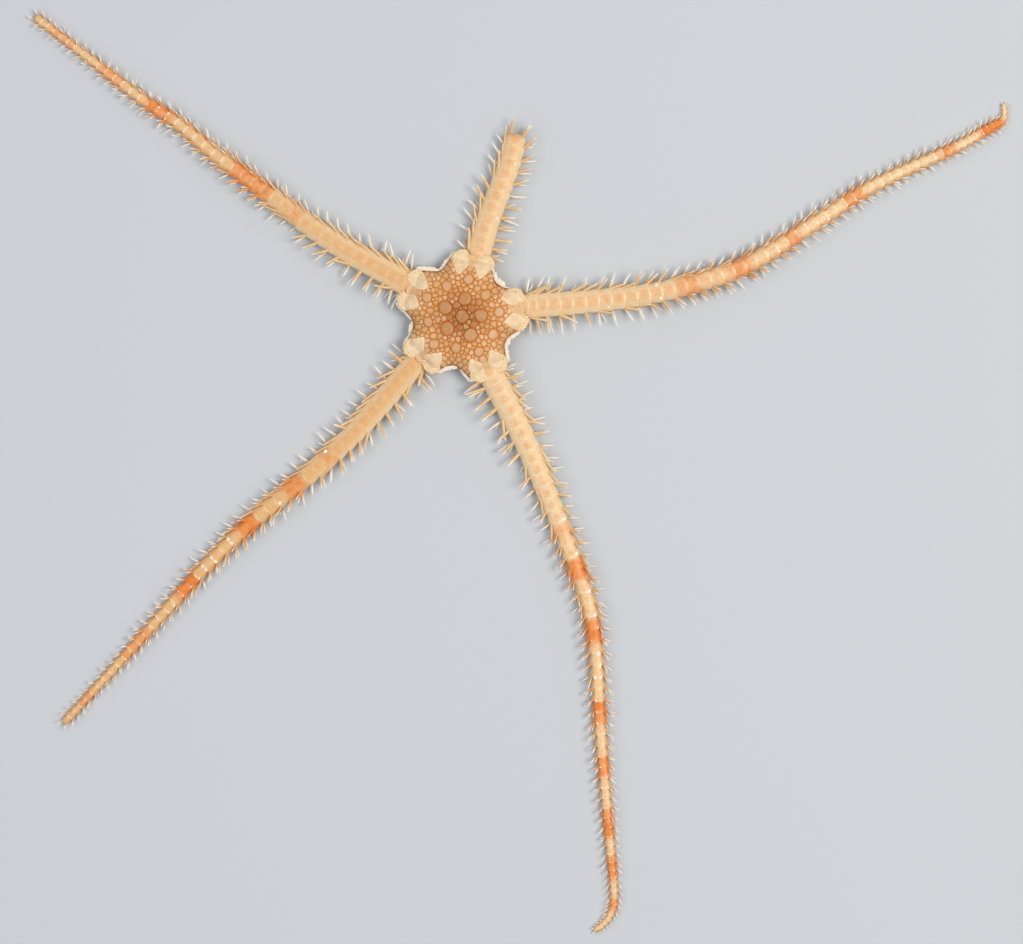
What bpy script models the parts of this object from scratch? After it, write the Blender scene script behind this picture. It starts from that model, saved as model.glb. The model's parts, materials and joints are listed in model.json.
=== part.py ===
"""Brittle star, a life-size still model that lies on its oral side with its arms spread.

The scaly disc is domed and five-sided, and each corner carries an arm of jointed segments.
Each segment flares towards its far end, where its spines stand out in a fan on both sides.
Four arms are whole. The first arm is a stump with a blunt, healed end. The underside is flat,
with the arms running in under the disc to five jaws around the mouth.

Sizes are in metres, +Z is up, the floor is z = 0, and the origin is under the middle of the spread.
"""

import math
import random
from bisect import bisect_right
from dataclasses import dataclass

import bmesh
import bpy
from mathutils import Matrix, Vector

MM = 0.001
GAP = 0.3 * MM  # kept between nodes that touch in the animal

# Colours, in linear light
ORANGE_TAN = (0.60, 0.33, 0.20)
PALE_TAN = (0.74, 0.55, 0.38)
CREAM = (0.72, 0.49, 0.30)
ROUGHNESS = 0.5

# Where the disc's centre lies, from the middle of the whole spread
DISC_PLACE = (-10.4 * MM, 26.7 * MM)

# Disc
RAYS = 5
RAY_STEP = 2 * math.pi / RAYS
FIRST_RAY = math.radians(79.8)  # direction of the stump's corner
SIDE_RADII = (9.2, 9.5, 9.5, 9.5, 9.9)  # to the middle of each side, in millimetres
CORNER_RADIUS = 11.3 * MM  # to the cut-off corner, over an arm
DISC_HEIGHT = 5.6 * MM
DISC_WAIST = 2.3 * MM  # height of the widest part
DISC_CLEARANCE = 0.35 * MM  # under the sides, which the arm roots lift off the floor
SIDE_CONCAVITY = 5.0  # 1 is a straight side
CORNER_SHARPNESS = 16.0
DOME_FLATNESS = 0.7
DISC_DIVISIONS = (40, 8)  # around and from top to bottom
SLOPE_STEP = 0.2 * MM  # over which the dome's slope is read
ROOT_START = 3.2 * MM  # where an arm begins under the disc, beside the mouth
ARM_START = 11.9 * MM  # where its free length begins

# Plates of the disc: distance from the centre, radius, and turn from the arm's direction
PLATE_SIDES = 6
PLATE_RISE = 0.28 * MM
PLATE_SINK = 0.6 * MM
PLATE_FOOT = 1.15  # of its radius, at its sunk lower edge
PLATE_TOP = 0.85
CENTRE_PLATE = 1.05 * MM
PLATE_RINGS = (
    (3.2 * MM, 1.05 * MM, 0.0),
    (6.5 * MM, 0.8 * MM, 0.0),
    (5.75 * MM, 0.8 * MM, 0.5),
)
SHIELD_DISTANCE = 8.9 * MM
SHIELD_LENGTH = 3.5 * MM
SHIELD_WIDTH = 2.4 * MM
SHIELD_TURN = math.radians(11.7)
SHIELD_SIDES = 8
SHIELD_FLARE = 0.22  # how much broader than its middle the outer end is

# Mouth and jaws
MOUTH_RADIUS = 2.6 * MM
MOUTH_SIDES = 20
MOUTH_DEPTH = 1.5 * MM
CUTTER_START = -1.0 * MM  # below the floor, so that the cutters go right through
JAW_FLOOR = 0.1 * MM
JAW_TOP = 1.2 * MM
SLOPE_SPARE = 1.05  # of the spare, across, so that it is kept along the sloping sides
# Outline of a jaw: distance from the mouth's middle, and half its width there
JAW_OUTLINE = (
    (0.8 * MM, 0.3 * MM),
    (2.4 * MM, 1.15 * MM),
    (4.6 * MM, 1.45 * MM),
    (5.7 * MM, 0.8 * MM),
)

# Arm segments
BASE_PITCH = 2.15 * MM  # length of a segment at the disc
TIP_PITCH = 1.5 * MM
WAIST = 0.84  # of the segment's full width, at its near end
WAIST_HEIGHT = 0.93
SHOULDER = 0.82  # how far along its segment the widest place is
HEIGHT_TO_WIDTH = 0.76
LEAST_HEIGHT = 0.8 * MM
TIP_END = 0.6  # width of the arm's last face, of its last segment's
TIP_END_HEIGHT = 0.7
# A cross-section: sideways in half widths, up in heights
SECTION = (
    (-0.7, 0.0),
    (0.7, 0.0),
    (1.0, 0.4),
    (0.45, 1.0),
    (-0.45, 1.0),
    (-1.0, 0.4),
)

# Spines
SPINE_SIDES = 3
SPINE_ROOT = 0.36 * MM
SPINE_TIP = 0.18 * MM
SPINE_REACH = 0.62  # visible length, in arm widths
SPINE_LEAST = 0.6 * MM
SPINE_PLACE = 0.62  # how far along its segment a fan stands
SPINE_INSET = 0.26  # its root's distance from the arm's middle line, in arm widths
SPINE_SUNK = 0.24  # length inside the segment, in arm widths
LOWEST_SPINE = 0.42  # height of the lowest root, in arm heights
SPINE_STEP = 0.16  # from one root up to the next
TILT_SPREAD = 4  # degrees either way, from spine to spine
LEAN_SPREAD = 8
REACH_SPREAD = (0.88, 1.1)
SEED = 20


@dataclass(frozen=True)
class Arm:
    """One arm, by the course of its middle line from the disc's centre, in millimetres."""

    name: str
    course: tuple
    base_width: float
    tip_width: float
    taper: float
    lengths: int


ARMS = (
    Arm(
        name="arm_a",
        course=((3.1, 12.0), (4.3, 16.2), (6.1, 21.0), (8.2, 26.6), (9.2, 31.2)),
        base_width=4.25 * MM,
        tip_width=3.5 * MM,
        taper=1.0,
        lengths=1,
    ),
    Arm(
        name="arm_b",
        course=(
            (11.0, 1.8),
            (20.1, 2.5),
            (32.1, 4.0),
            (44.0, 7.1),
            (51.3, 10.5),
            (61.6, 17.1),
            (68.5, 21.6),
            (75.7, 25.2),
            (83.3, 28.6),
            (90.3, 32.5),
            (92.3, 34.0),
            (92.6, 36.2),
        ),
        base_width=4.3 * MM,
        tip_width=1.3 * MM,
        taper=0.95,
        lengths=4,
    ),
    Arm(
        name="arm_c",
        course=(
            (5.6, -11.0),
            (9.9, -19.5),
            (14.8, -30.8),
            (19.2, -42.2),
            (21.7, -49.8),
            (22.8, -58.1),
            (23.5, -70.3),
            (24.8, -86.3),
            (25.8, -98.0),
            (25.2, -101.6),
            (23.6, -103.6),
            (22.4, -104.3),
        ),
        base_width=4.05 * MM,
        tip_width=1.0 * MM,
        taper=0.9,
        lengths=4,
    ),
    Arm(
        name="arm_d",
        course=(
            (-8.2, -8.1),
            (-14.6, -15.5),
            (-19.8, -21.1),
            (-26.2, -26.9),
            (-35.6, -34.7),
            (-44.2, -43.0),
            (-52.4, -52.1),
            (-60.8, -61.4),
            (-67.8, -69.0),
        ),
        base_width=3.9 * MM,
        tip_width=1.15 * MM,
        taper=1.2,
        lengths=4,
    ),
    Arm(
        name="arm_e",
        course=(
            (-10.4, 6.2),
            (-18.8, 10.8),
            (-25.8, 15.3),
            (-31.8, 20.0),
            (-41.8, 27.5),
            (-48.2, 32.8),
            (-54.8, 37.3),
            (-64.5, 44.8),
            (-72.3, 50.8),
        ),
        base_width=4.05 * MM,
        tip_width=1.25 * MM,
        taper=1.0,
        lengths=4,
    ),
)

# Fans of spines on one side of a segment: up to which part of the arm, and each one's
# elevation and lean from the arm's direction, in degrees, with its share of the full length
FANS = (
    (0.20, ((8, 76, 1.0), (46, 64, 0.85))),
    (0.36, ((10, 68, 1.0), (46, 56, 0.8))),
    (1.01, ((14, 54, 1.0),)),
)


class Course:
    """A smooth line through an arm's points, read by the distance along it."""

    STEPS = 24

    def __init__(self, points):
        ends = [points[0] * 2 - points[1], *points, points[-1] * 2 - points[-2]]
        self.places = [points[0]]
        for a, b, c, d in zip(ends, ends[1:], ends[2:], ends[3:]):
            for step in range(1, self.STEPS + 1):
                t = step / self.STEPS
                even = 2 * b + (c - a) * t + (2 * a - 5 * b + 4 * c - d) * t * t
                self.places.append((even + (3 * b - a - 3 * c + d) * t**3) / 2)
        self.distances = [0.0]
        for a, b in zip(self.places, self.places[1:]):
            self.distances.append(self.distances[-1] + (b - a).length)
        self.length = self.distances[-1]

    def place(self, distance):
        """The point at a distance, and the direction of travel there."""
        index = bisect_right(self.distances, distance) - 1
        index = min(max(index, 0), len(self.places) - 2)
        start = self.places[index]
        ahead = (self.places[index + 1] - start).normalized()
        return start + ahead * (distance - self.distances[index]), self.heading(index)

    def heading(self, index):
        """The direction of travel, evened over the neighbouring points."""
        before = self.places[max(index - 2, 0)]
        after = self.places[min(index + 3, len(self.places) - 1)]
        return (after - before).normalized()

    def distance_from_centre(self, radius):
        """How far along the line it leaves a circle around the disc's centre."""
        for place, distance in zip(self.places, self.distances):
            if place.length >= radius:
                return distance
        return self.length


def ray_angle(turn):
    """The direction of the corner over an arm, counted clockwise from the stump's."""
    return FIRST_RAY - turn * RAY_STEP


def polar(distance, angle, height=0.0):
    """A point at a distance and angle from the disc's axis."""
    return Vector((distance * math.cos(angle), distance * math.sin(angle), height))


def arm_course(index, arm):
    """The arm's middle line, begun beside the mouth."""
    first = polar(ROOT_START, ray_angle(index))
    rest = [Vector((x * MM, y * MM, 0.0)) for x, y in arm.course]
    return Course([first, *rest])


def disc_outline(angle):
    """The disc's radius in one direction: five sides, with a cut-off corner over each arm."""
    turn = (FIRST_RAY - angle) / RAY_STEP
    from_ray = abs(turn - round(turn)) * RAY_STEP
    from_side = RAY_STEP / 2 - from_ray
    middle = SIDE_RADII[math.floor(turn) % RAYS] * MM
    side = middle / math.cos(from_side) ** SIDE_CONCAVITY
    corner = CORNER_RADIUS / math.cos(from_ray)
    ratio = (corner / side) ** CORNER_SHARPNESS
    return corner / (1 + ratio) ** (1 / CORNER_SHARPNESS)


def dome_height(x, y):
    """The height of the disc's upper face over a point."""
    share = min(math.hypot(x, y) / disc_outline(math.atan2(y, x)), 1.0)
    lift = math.sqrt(max(1.0 - share ** (2 / DOME_FLATNESS), 0.0))
    return DISC_WAIST + (DISC_HEIGHT - DISC_WAIST) * lift


def dome_frame(x, y, angle):
    """A place on the disc's upper face, with Z along its normal and X in a given direction."""
    step = SLOPE_STEP
    across = (dome_height(x + step, y) - dome_height(x - step, y)) / (2 * step)
    along = (dome_height(x, y + step) - dome_height(x, y - step)) / (2 * step)
    normal = Vector((-across, -along, 1.0)).normalized()
    outward = Vector((math.cos(angle), math.sin(angle), 0.0))
    side = normal.cross(outward).normalized()
    outward = side.cross(normal)
    turn = Matrix((outward, side, normal)).transposed().to_4x4()
    return Matrix.Translation((x, y, dome_height(x, y))) @ turn


def new_object(name, bm, collection):
    """A mesh object from a bmesh, with its faces turned out."""
    bmesh.ops.recalc_face_normals(bm, faces=bm.faces)
    mesh = bpy.data.meshes.new(name)
    bm.to_mesh(mesh)
    bm.free()
    made = bpy.data.objects.new(name, mesh)
    collection.objects.link(made)
    return made


def loft(name, rings, collection):
    """A closed body through a row of cross-sections, all of one number of points."""
    bm = bmesh.new()
    loops = [[bm.verts.new(point) for point in ring] for ring in rings]
    count = len(loops[0])
    for near, far in zip(loops, loops[1:]):
        for i in range(count):
            after = (i + 1) % count
            bm.faces.new((near[i], near[after], far[after], far[i]))
    bm.faces.new(reversed(loops[0]))
    bm.faces.new(loops[-1])
    return new_object(name, bm, collection)


def slab(name, outline, floor, top, collection):
    """A flat piece with straight walls, from its outline."""
    bm = bmesh.new()
    base = bm.faces.new([bm.verts.new((p.x, p.y, floor)) for p in outline])
    made = bmesh.ops.extrude_face_region(bm, geom=[base])
    raised = [item for item in made["geom"] if isinstance(item, bmesh.types.BMVert)]
    bmesh.ops.translate(bm, verts=raised, vec=(0.0, 0.0, top - floor))
    return new_object(name, bm, collection)


def tapered(name, sides, near_radius, far_radius, length, frame, collection):
    """A tapered prism that rises from its frame's origin along its Z axis."""
    bm = bmesh.new()
    bmesh.ops.create_cone(
        bm,
        cap_ends=True,
        segments=sides,
        radius1=near_radius,
        radius2=far_radius,
        depth=length,
        matrix=frame @ Matrix.Translation((0.0, 0.0, length / 2)),
    )
    return new_object(name, bm, collection)


def boolean(body, pieces, operation):
    """Joins a collection's pieces to a body, or cuts them out of it, and removes them."""
    modifier = body.modifiers.new(operation.lower(), "BOOLEAN")
    modifier.operation = operation
    modifier.operand_type = "COLLECTION"
    modifier.collection = pieces
    modifier.solver = "MANIFOLD"
    evaluated = body.evaluated_get(bpy.context.evaluated_depsgraph_get())
    joined = bpy.data.meshes.new_from_object(evaluated)
    body.modifiers.clear()
    body.data = joined
    for piece in list(pieces.objects):
        bpy.data.objects.remove(piece)
    bpy.data.collections.remove(pieces)
    keep_largest(body)


def keep_largest(body):
    """Drops every closed surface of a mesh but the one with the most room inside."""
    bm = bmesh.new()
    bm.from_mesh(body.data)
    bmesh.ops.triangulate(bm, faces=bm.faces)
    waiting = set(bm.faces)
    surfaces = []
    while waiting:
        surface = [waiting.pop()]
        for face in surface:
            for edge in face.edges:
                fresh = [other for other in edge.link_faces if other in waiting]
                waiting.difference_update(fresh)
                surface.extend(fresh)
        surfaces.append(surface)
    surfaces.sort(key=enclosed)
    loose = [face for surface in surfaces[:-1] for face in surface]
    bmesh.ops.delete(bm, geom=loose, context="FACES")
    bm.to_mesh(body.data)
    bm.free()


def enclosed(surface):
    """The volume that a closed set of triangles holds."""
    total = 0.0
    for face in surface:
        a, b, c = (vert.co for vert in face.verts)
        total += a.dot(b.cross(c)) / 6
    return total


def scratch_collection(name):
    """A collection for the pieces of one union or cut."""
    made = bpy.data.collections.new(name)
    bpy.context.scene.collection.children.link(made)
    return made


def arm_ring(course, distance, width, height):
    """One cross-section of an arm, standing across its middle line with its base on the floor."""
    middle, ahead = course.place(distance)
    side = Vector((-ahead.y, ahead.x, 0.0))
    return [
        middle + side * (across * width / 2) + Vector((0.0, 0.0, up * height))
        for across, up in SECTION
    ]


def arm_width(arm, share):
    """The full width of an arm, part of the way along it."""
    return arm.base_width + (arm.tip_width - arm.base_width) * share**arm.taper


def arm_height(width):
    """The height of an arm where it has a given width."""
    return max(width * HEIGHT_TO_WIDTH, LEAST_HEIGHT)


def segment_ends(start, end):
    """The places of the joints between segments, closer towards the tip."""
    ends = [start]
    while ends[-1] < end:
        share = (ends[-1] - start) / (end - start)
        ends.append(ends[-1] + BASE_PITCH + (TIP_PITCH - BASE_PITCH) * share**1.5)
    stretch = (end - start) / (ends[-1] - start)
    return [start + (place - start) * stretch for place in ends]


def spine_frame(course, distance, side, across, up, elevation, lean):
    """The root of a spine inside its segment, with Z along the spine."""
    middle, ahead = course.place(distance)
    outward = Vector((-ahead.y, ahead.x, 0.0)) * side
    level = outward * math.sin(lean) + ahead * math.cos(lean)
    point = level * math.cos(elevation) + Vector((0.0, 0.0, math.sin(elevation)))
    root = middle + outward * across + Vector((0.0, 0.0, up))
    turn = point.to_track_quat("Z", "Y").to_matrix().to_4x4()
    return Matrix.Translation(root) @ turn


def add_fan(name, arm, course, distance, share, draw, pieces):
    """The spines of one segment, on both of its sides."""
    width = arm_width(arm, share)
    height = arm_height(width)
    fan = next(spines for limit, spines in FANS if share < limit)
    for side in (-1, 1):
        for number, (elevation, lean, part) in enumerate(fan):
            tilt = math.radians(elevation + draw.uniform(-TILT_SPREAD, TILT_SPREAD))
            turn = math.radians(lean + draw.uniform(-LEAN_SPREAD, LEAN_SPREAD))
            reach = width * SPINE_REACH * part * draw.uniform(*REACH_SPREAD)
            level = height * (LOWEST_SPINE + SPINE_STEP * number)
            frame = spine_frame(
                course,
                distance,
                side,
                across=width * SPINE_INSET,
                up=max(level, SPINE_ROOT),
                elevation=tilt,
                lean=turn,
            )
            length = width * SPINE_SUNK + max(reach, SPINE_LEAST)
            tapered(
                f"{name}_spine", SPINE_SIDES, SPINE_ROOT, SPINE_TIP, length, frame, pieces
            )


def make_arm(index, arm, parts, material):
    """All lengths of one arm, each with its segments and their spines in one body."""
    draw = random.Random(SEED + index)
    course = arm_course(index, arm)
    start = course.distance_from_centre(ARM_START)
    joints = segment_ends(start, course.length)
    segments = list(zip(joints, joints[1:]))
    made = []
    for number in range(arm.lengths):
        first = len(segments) * number // arm.lengths
        last = len(segments) * (number + 1) // arm.lengths
        name = f"{arm.name}_{number + 1}"
        at_disc = number == 0
        at_tip = number == arm.lengths - 1
        pieces = scratch_collection(f"{name}_spines")
        rings = []
        for order, (near, far) in enumerate(segments[first:last]):
            share = (far - start) / (course.length - start)
            width = arm_width(arm, share)
            height = arm_height(width)
            pitch = far - near
            opening = near
            if order == 0 and not at_disc:
                opening = near + GAP / 2
            shoulder = near + pitch * SHOULDER
            rings.append(arm_ring(course, opening, width * WAIST, height * WAIST_HEIGHT))
            rings.append(arm_ring(course, shoulder, width, height))
            fan_place = near + pitch * SPINE_PLACE
            add_fan(name, arm, course, fan_place, share, draw, pieces)
        end = segments[last - 1][1]
        if at_tip:
            rings.append(arm_ring(course, end, width * TIP_END, height * TIP_END_HEIGHT))
        else:
            rings.append(
                arm_ring(course, end - GAP / 2, width * WAIST, height * WAIST_HEIGHT)
            )
        body = loft(name, rings, parts)
        boolean(body, pieces, "UNION")
        body.data.materials.clear()
        body.data.materials.append(material)
        made.append(body)
    return made


def make_disc(parts, material):
    """The domed disc, with the arms' roots under it, its main plates and its radial shields."""
    bm = bmesh.new()
    around, down = DISC_DIVISIONS
    bmesh.ops.create_uvsphere(bm, u_segments=around, v_segments=down, radius=1.0)
    bmesh.ops.rotate(bm, verts=bm.verts, matrix=Matrix.Rotation(FIRST_RAY, 3, "Z"))
    for vert in bm.verts:
        share = math.hypot(vert.co.x, vert.co.y)
        angle = math.atan2(vert.co.y, vert.co.x)
        spread = disc_outline(angle) * share**DOME_FLATNESS
        if vert.co.z >= 0:
            height = DISC_WAIST + (DISC_HEIGHT - DISC_WAIST) * vert.co.z
        else:
            height = DISC_WAIST + (DISC_WAIST - DISC_CLEARANCE) * vert.co.z
        vert.co = polar(spread, angle, height)
    body = new_object("disc", bm, parts)
    pieces = scratch_collection("disc_pieces")
    for index, arm in enumerate(ARMS):
        add_arm_root(index, arm, pieces)
    add_plates(pieces)
    for index in range(RAYS):
        for side in (-1, 1):
            add_shield(ray_angle(index) + side * SHIELD_TURN, pieces)
    boolean(body, pieces, "UNION")
    boolean(body, mouth_cutters(), "DIFFERENCE")
    body.data.materials.clear()
    body.data.materials.append(material)
    return body


def add_arm_root(index, arm, pieces):
    """The part of an arm that runs in under the disc, cut square where the arm goes on."""
    course = arm_course(index, arm)
    end = course.distance_from_centre(ARM_START) - GAP
    width = arm.base_width * WAIST
    height = arm.base_width * HEIGHT_TO_WIDTH * WAIST_HEIGHT
    rings = [arm_ring(course, end * part, width, height) for part in (0.0, 0.5, 1.0)]
    loft("arm_root", rings, pieces)


def add_plates(pieces):
    """The central plate and the rings of large plates around it."""
    places = [(0.0, CENTRE_PLATE, 0.0)]
    for distance, radius, turn in PLATE_RINGS:
        places += [(distance, radius, ray_angle(index + turn)) for index in range(RAYS)]
    for distance, radius, angle in places:
        spot = polar(distance, angle)
        frame = dome_frame(spot.x, spot.y, angle)
        frame = frame @ Matrix.Translation((0.0, 0.0, -PLATE_SINK))
        foot = radius * PLATE_FOOT
        top = radius * PLATE_TOP
        tapered("plate", PLATE_SIDES, foot, top, PLATE_SINK + PLATE_RISE, frame, pieces)


def add_shield(angle, pieces):
    """One radial shield, a pear-shaped plate with its narrow end towards the centre."""
    spot = polar(SHIELD_DISTANCE, angle)
    frame = dome_frame(spot.x, spot.y, angle)
    centred = Matrix.Translation((0.0, 0.0, -0.5))
    shield = tapered("shield", SHIELD_SIDES, 1.0, PLATE_TOP, 1.0, centred, pieces)
    for vert in shield.data.vertices:
        along = vert.co.x
        vert.co.x = along * SHIELD_LENGTH / 2
        vert.co.y *= (1.0 + SHIELD_FLARE * along) * SHIELD_WIDTH / 2
        vert.co.z = PLATE_RISE if vert.co.z > 0 else -PLATE_SINK
    shield.data.transform(frame)


def jaw_outline(index, spare=0.0):
    """The kite-shaped outline of the jaw after an arm, grown on all sides by the spare."""
    ahead = polar(1.0, ray_angle(index + 0.5))
    side = Vector((-ahead.y, ahead.x, 0.0))
    shifts = (-spare, 0.0, 0.0, spare)
    grown = [
        (distance + shift, half + spare * SLOPE_SPARE)
        for (distance, half), shift in zip(JAW_OUTLINE, shifts)
    ]
    left = [ahead * distance + side * half for distance, half in grown]
    right = [ahead * distance - side * half for distance, half in reversed(grown)]
    return left + right


def mouth_cutters():
    """The mouth and the pockets that the jaws sit in."""
    cutters = scratch_collection("mouth_cutters")
    frame = Matrix.Translation((0.0, 0.0, CUTTER_START))
    depth = MOUTH_DEPTH - CUTTER_START
    tapered("mouth", MOUTH_SIDES, MOUTH_RADIUS, MOUTH_RADIUS, depth, frame, cutters)
    for index in range(RAYS):
        outline = jaw_outline(index, spare=GAP)
        slab("pocket", outline, CUTTER_START, MOUTH_DEPTH, cutters)
    for cutter in cutters.objects:
        cutter.hide_render = True
        cutter.display_type = "WIRE"
    return cutters


def make_jaw(index, parts, material):
    """One jaw, a wedge that points into the mouth, with its oral shield at the wide end."""
    jaw = slab(f"jaw_{index + 1}", jaw_outline(index), JAW_FLOOR, JAW_TOP, parts)
    jaw.data.materials.append(material)
    return jaw


def new_material(name, colour):
    """A plain surface in one colour."""
    material = bpy.data.materials.new(name)
    material.use_nodes = True
    surface = material.node_tree.nodes["Principled BSDF"]
    surface.inputs["Base Color"].default_value = (*colour, 1.0)
    surface.inputs["Roughness"].default_value = ROUGHNESS
    surface.inputs["Metallic"].default_value = 0.0
    return material


def main():
    """Clears the scene and builds the disc, the jaws and the arms under one root."""
    for item in list(bpy.data.objects):
        bpy.data.objects.remove(item)
    parts = bpy.data.collections.new("brittle_star")
    bpy.context.scene.collection.children.link(parts)
    disc_material = new_material("disc_scales", ORANGE_TAN)
    jaw_material = new_material("jaw_plates", PALE_TAN)
    root = bpy.data.objects.new("brittle_star_root", None)
    parts.objects.link(root)
    root.location = (*DISC_PLACE, 0.0)
    made = [make_disc(parts, disc_material)]
    made += [make_jaw(index, parts, jaw_material) for index in range(RAYS)]
    for index, arm in enumerate(ARMS):
        made += make_arm(index, arm, parts, new_material(f"{arm.name}_plates", CREAM))
    for item in made:
        item.parent = root


main()
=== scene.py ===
"""Brittle star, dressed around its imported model.

One skin covers the disc and the five arms. Over it lie the disc's scales and radial shields, the plates
of the arms' segments with their glassy spines, and the plates and papillae of the mouth underneath.
"""

import json
import logging
import math
from collections.abc import Iterator, Sequence
from contextlib import contextmanager
from dataclasses import dataclass
from enum import Enum

import bpy
import numpy as np
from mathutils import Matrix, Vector

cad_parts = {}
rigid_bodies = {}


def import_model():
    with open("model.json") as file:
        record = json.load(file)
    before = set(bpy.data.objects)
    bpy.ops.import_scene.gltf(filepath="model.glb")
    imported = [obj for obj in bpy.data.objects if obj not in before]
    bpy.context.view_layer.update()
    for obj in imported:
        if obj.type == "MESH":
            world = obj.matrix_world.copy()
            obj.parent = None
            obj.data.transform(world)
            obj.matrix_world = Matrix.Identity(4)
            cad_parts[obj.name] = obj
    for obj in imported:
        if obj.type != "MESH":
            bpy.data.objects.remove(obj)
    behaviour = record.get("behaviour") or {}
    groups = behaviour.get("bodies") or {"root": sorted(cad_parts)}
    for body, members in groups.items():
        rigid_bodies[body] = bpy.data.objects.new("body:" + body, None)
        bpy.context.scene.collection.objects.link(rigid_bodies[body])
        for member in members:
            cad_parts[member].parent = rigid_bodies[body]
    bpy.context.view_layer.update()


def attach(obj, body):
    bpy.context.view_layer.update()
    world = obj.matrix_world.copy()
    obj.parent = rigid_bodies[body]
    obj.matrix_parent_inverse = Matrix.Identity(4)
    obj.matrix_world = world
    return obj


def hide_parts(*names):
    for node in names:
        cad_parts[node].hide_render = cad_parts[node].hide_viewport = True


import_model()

log = logging.getLogger("brittle_star")

MM = 0.001
ROOT = "root"
BAKE_MAP = "OFBake"
SAME_POINT = 0.002 * MM  # how near two points are merged
SEGMENT_MIDDLE = 0.4  # where along a segment the skin and the spines take their colours

# The photograph: its size in pixels, the pixel of the disc's centre, and the real size of a pixel
PHOTO_SIZE = (1023, 944)
DISC_PIXEL = (462.4, 317.0)
PIXEL = 0.17 * MM

# Where the disc's centre lies, from the middle of the whole spread
DISC_PLACE = np.array((-10.4, 26.7)) * MM

RAYS = 5
RAY_STEP = 2 * math.pi / RAYS
FIRST_RAY = math.radians(79.8)  # direction of the stump's corner


def ray_angle(turn: float) -> float:
    """The direction of the corner over an arm, counted clockwise from the stump's."""
    return FIRST_RAY - turn * RAY_STEP


def smooth(value: np.ndarray, low: float, high: float) -> np.ndarray:
    """Rises evenly from 0 at low to 1 at high, with soft ends.

    Args:
        value: What is read.
        low: Where the rise starts.
        high: Where it ends.

    Returns:
        Values from 0 to 1.
    """
    share = np.clip((value - low) / (high - low), 0.0, 1.0)
    return share * share * (3 - 2 * share)


# Modelling


def deselect() -> None:
    """Leaves nothing selected."""
    bpy.ops.object.select_all(action="DESELECT")


def select_only(item: bpy.types.Object) -> None:
    """Selects one object alone and makes it the active one.

    Args:
        item: The object.
    """
    deselect()
    item.select_set(True)
    bpy.context.view_layer.objects.active = item


@contextmanager
def editing(item: bpy.types.Object) -> Iterator[None]:
    """Opens one object in edit mode.

    Args:
        item: The mesh object to shape.

    Yields:
        Nothing, while the object is open.
    """
    select_only(item)
    bpy.ops.object.mode_set(mode="EDIT")
    yield
    bpy.ops.object.mode_set(mode="OBJECT")


def read_points(mesh: bpy.types.Mesh) -> np.ndarray:
    """Reads where a mesh's points are.

    Args:
        mesh: The mesh.

    Returns:
        The points, one row each.
    """
    points = np.zeros(len(mesh.vertices) * 3)
    mesh.vertices.foreach_get("co", points)
    return points.reshape(-1, 3)


def write_marks(mesh: bpy.types.Mesh, marks: dict[str, np.ndarray]) -> None:
    """Writes values at a mesh's points, which the finishes read by their names.

    Args:
        mesh: The mesh.
        marks: One value for each point, by name.
    """
    for name, values in marks.items():
        attribute = mesh.attributes.new(name, "FLOAT", "POINT")
        attribute.data.foreach_set("value", values.astype(np.float32))


def has_room(kept: np.ndarray, spot: np.ndarray, radius: float, closeness: float) -> bool:
    """Whether a round thing fits beside the ones that are there.

    Args:
        kept: Place and radius of each that is there, one row each.
        spot: Its place.
        radius: Its radius.
        closeness: The least distance between two, as a share of both radii together.

    Returns:
        True if it is far enough from all of them.
    """
    apart = np.hypot(kept[:, 0] - spot[0], kept[:, 1] - spot[1])
    return bool(np.all(apart > (kept[:, 2] + radius) * closeness))


@dataclass
class Pattern:
    """A small finished mesh, kept as arrays so that it can be copied many times.

    Attributes:
        points: Its points, one row each.
        corners: The point of each face corner.
        counts: How many corners each face has.
    """

    points: np.ndarray
    corners: np.ndarray
    counts: np.ndarray

    @classmethod
    def taken_from(cls, item: bpy.types.Object) -> "Pattern":
        """Reads a modelled object, with its place applied, and removes it.

        Args:
            item: The object that was modelled.

        Returns:
            Its mesh as arrays.
        """
        mesh = item.data
        mesh.transform(item.matrix_world)
        points = read_points(mesh)
        corners = np.zeros(len(mesh.loops), int)
        mesh.loops.foreach_get("vertex_index", corners)
        counts = np.zeros(len(mesh.polygons), int)
        mesh.polygons.foreach_get("loop_total", counts)
        bpy.data.objects.remove(item)
        return cls(points, corners, counts)

    @property
    def angle(self) -> np.ndarray:
        """The direction of each point from the pattern's upright axis."""
        return np.arctan2(self.points[:, 1], self.points[:, 0])

    @property
    def spread(self) -> np.ndarray:
        """The distance of each point from that axis."""
        return np.hypot(self.points[:, 0], self.points[:, 1])


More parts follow.
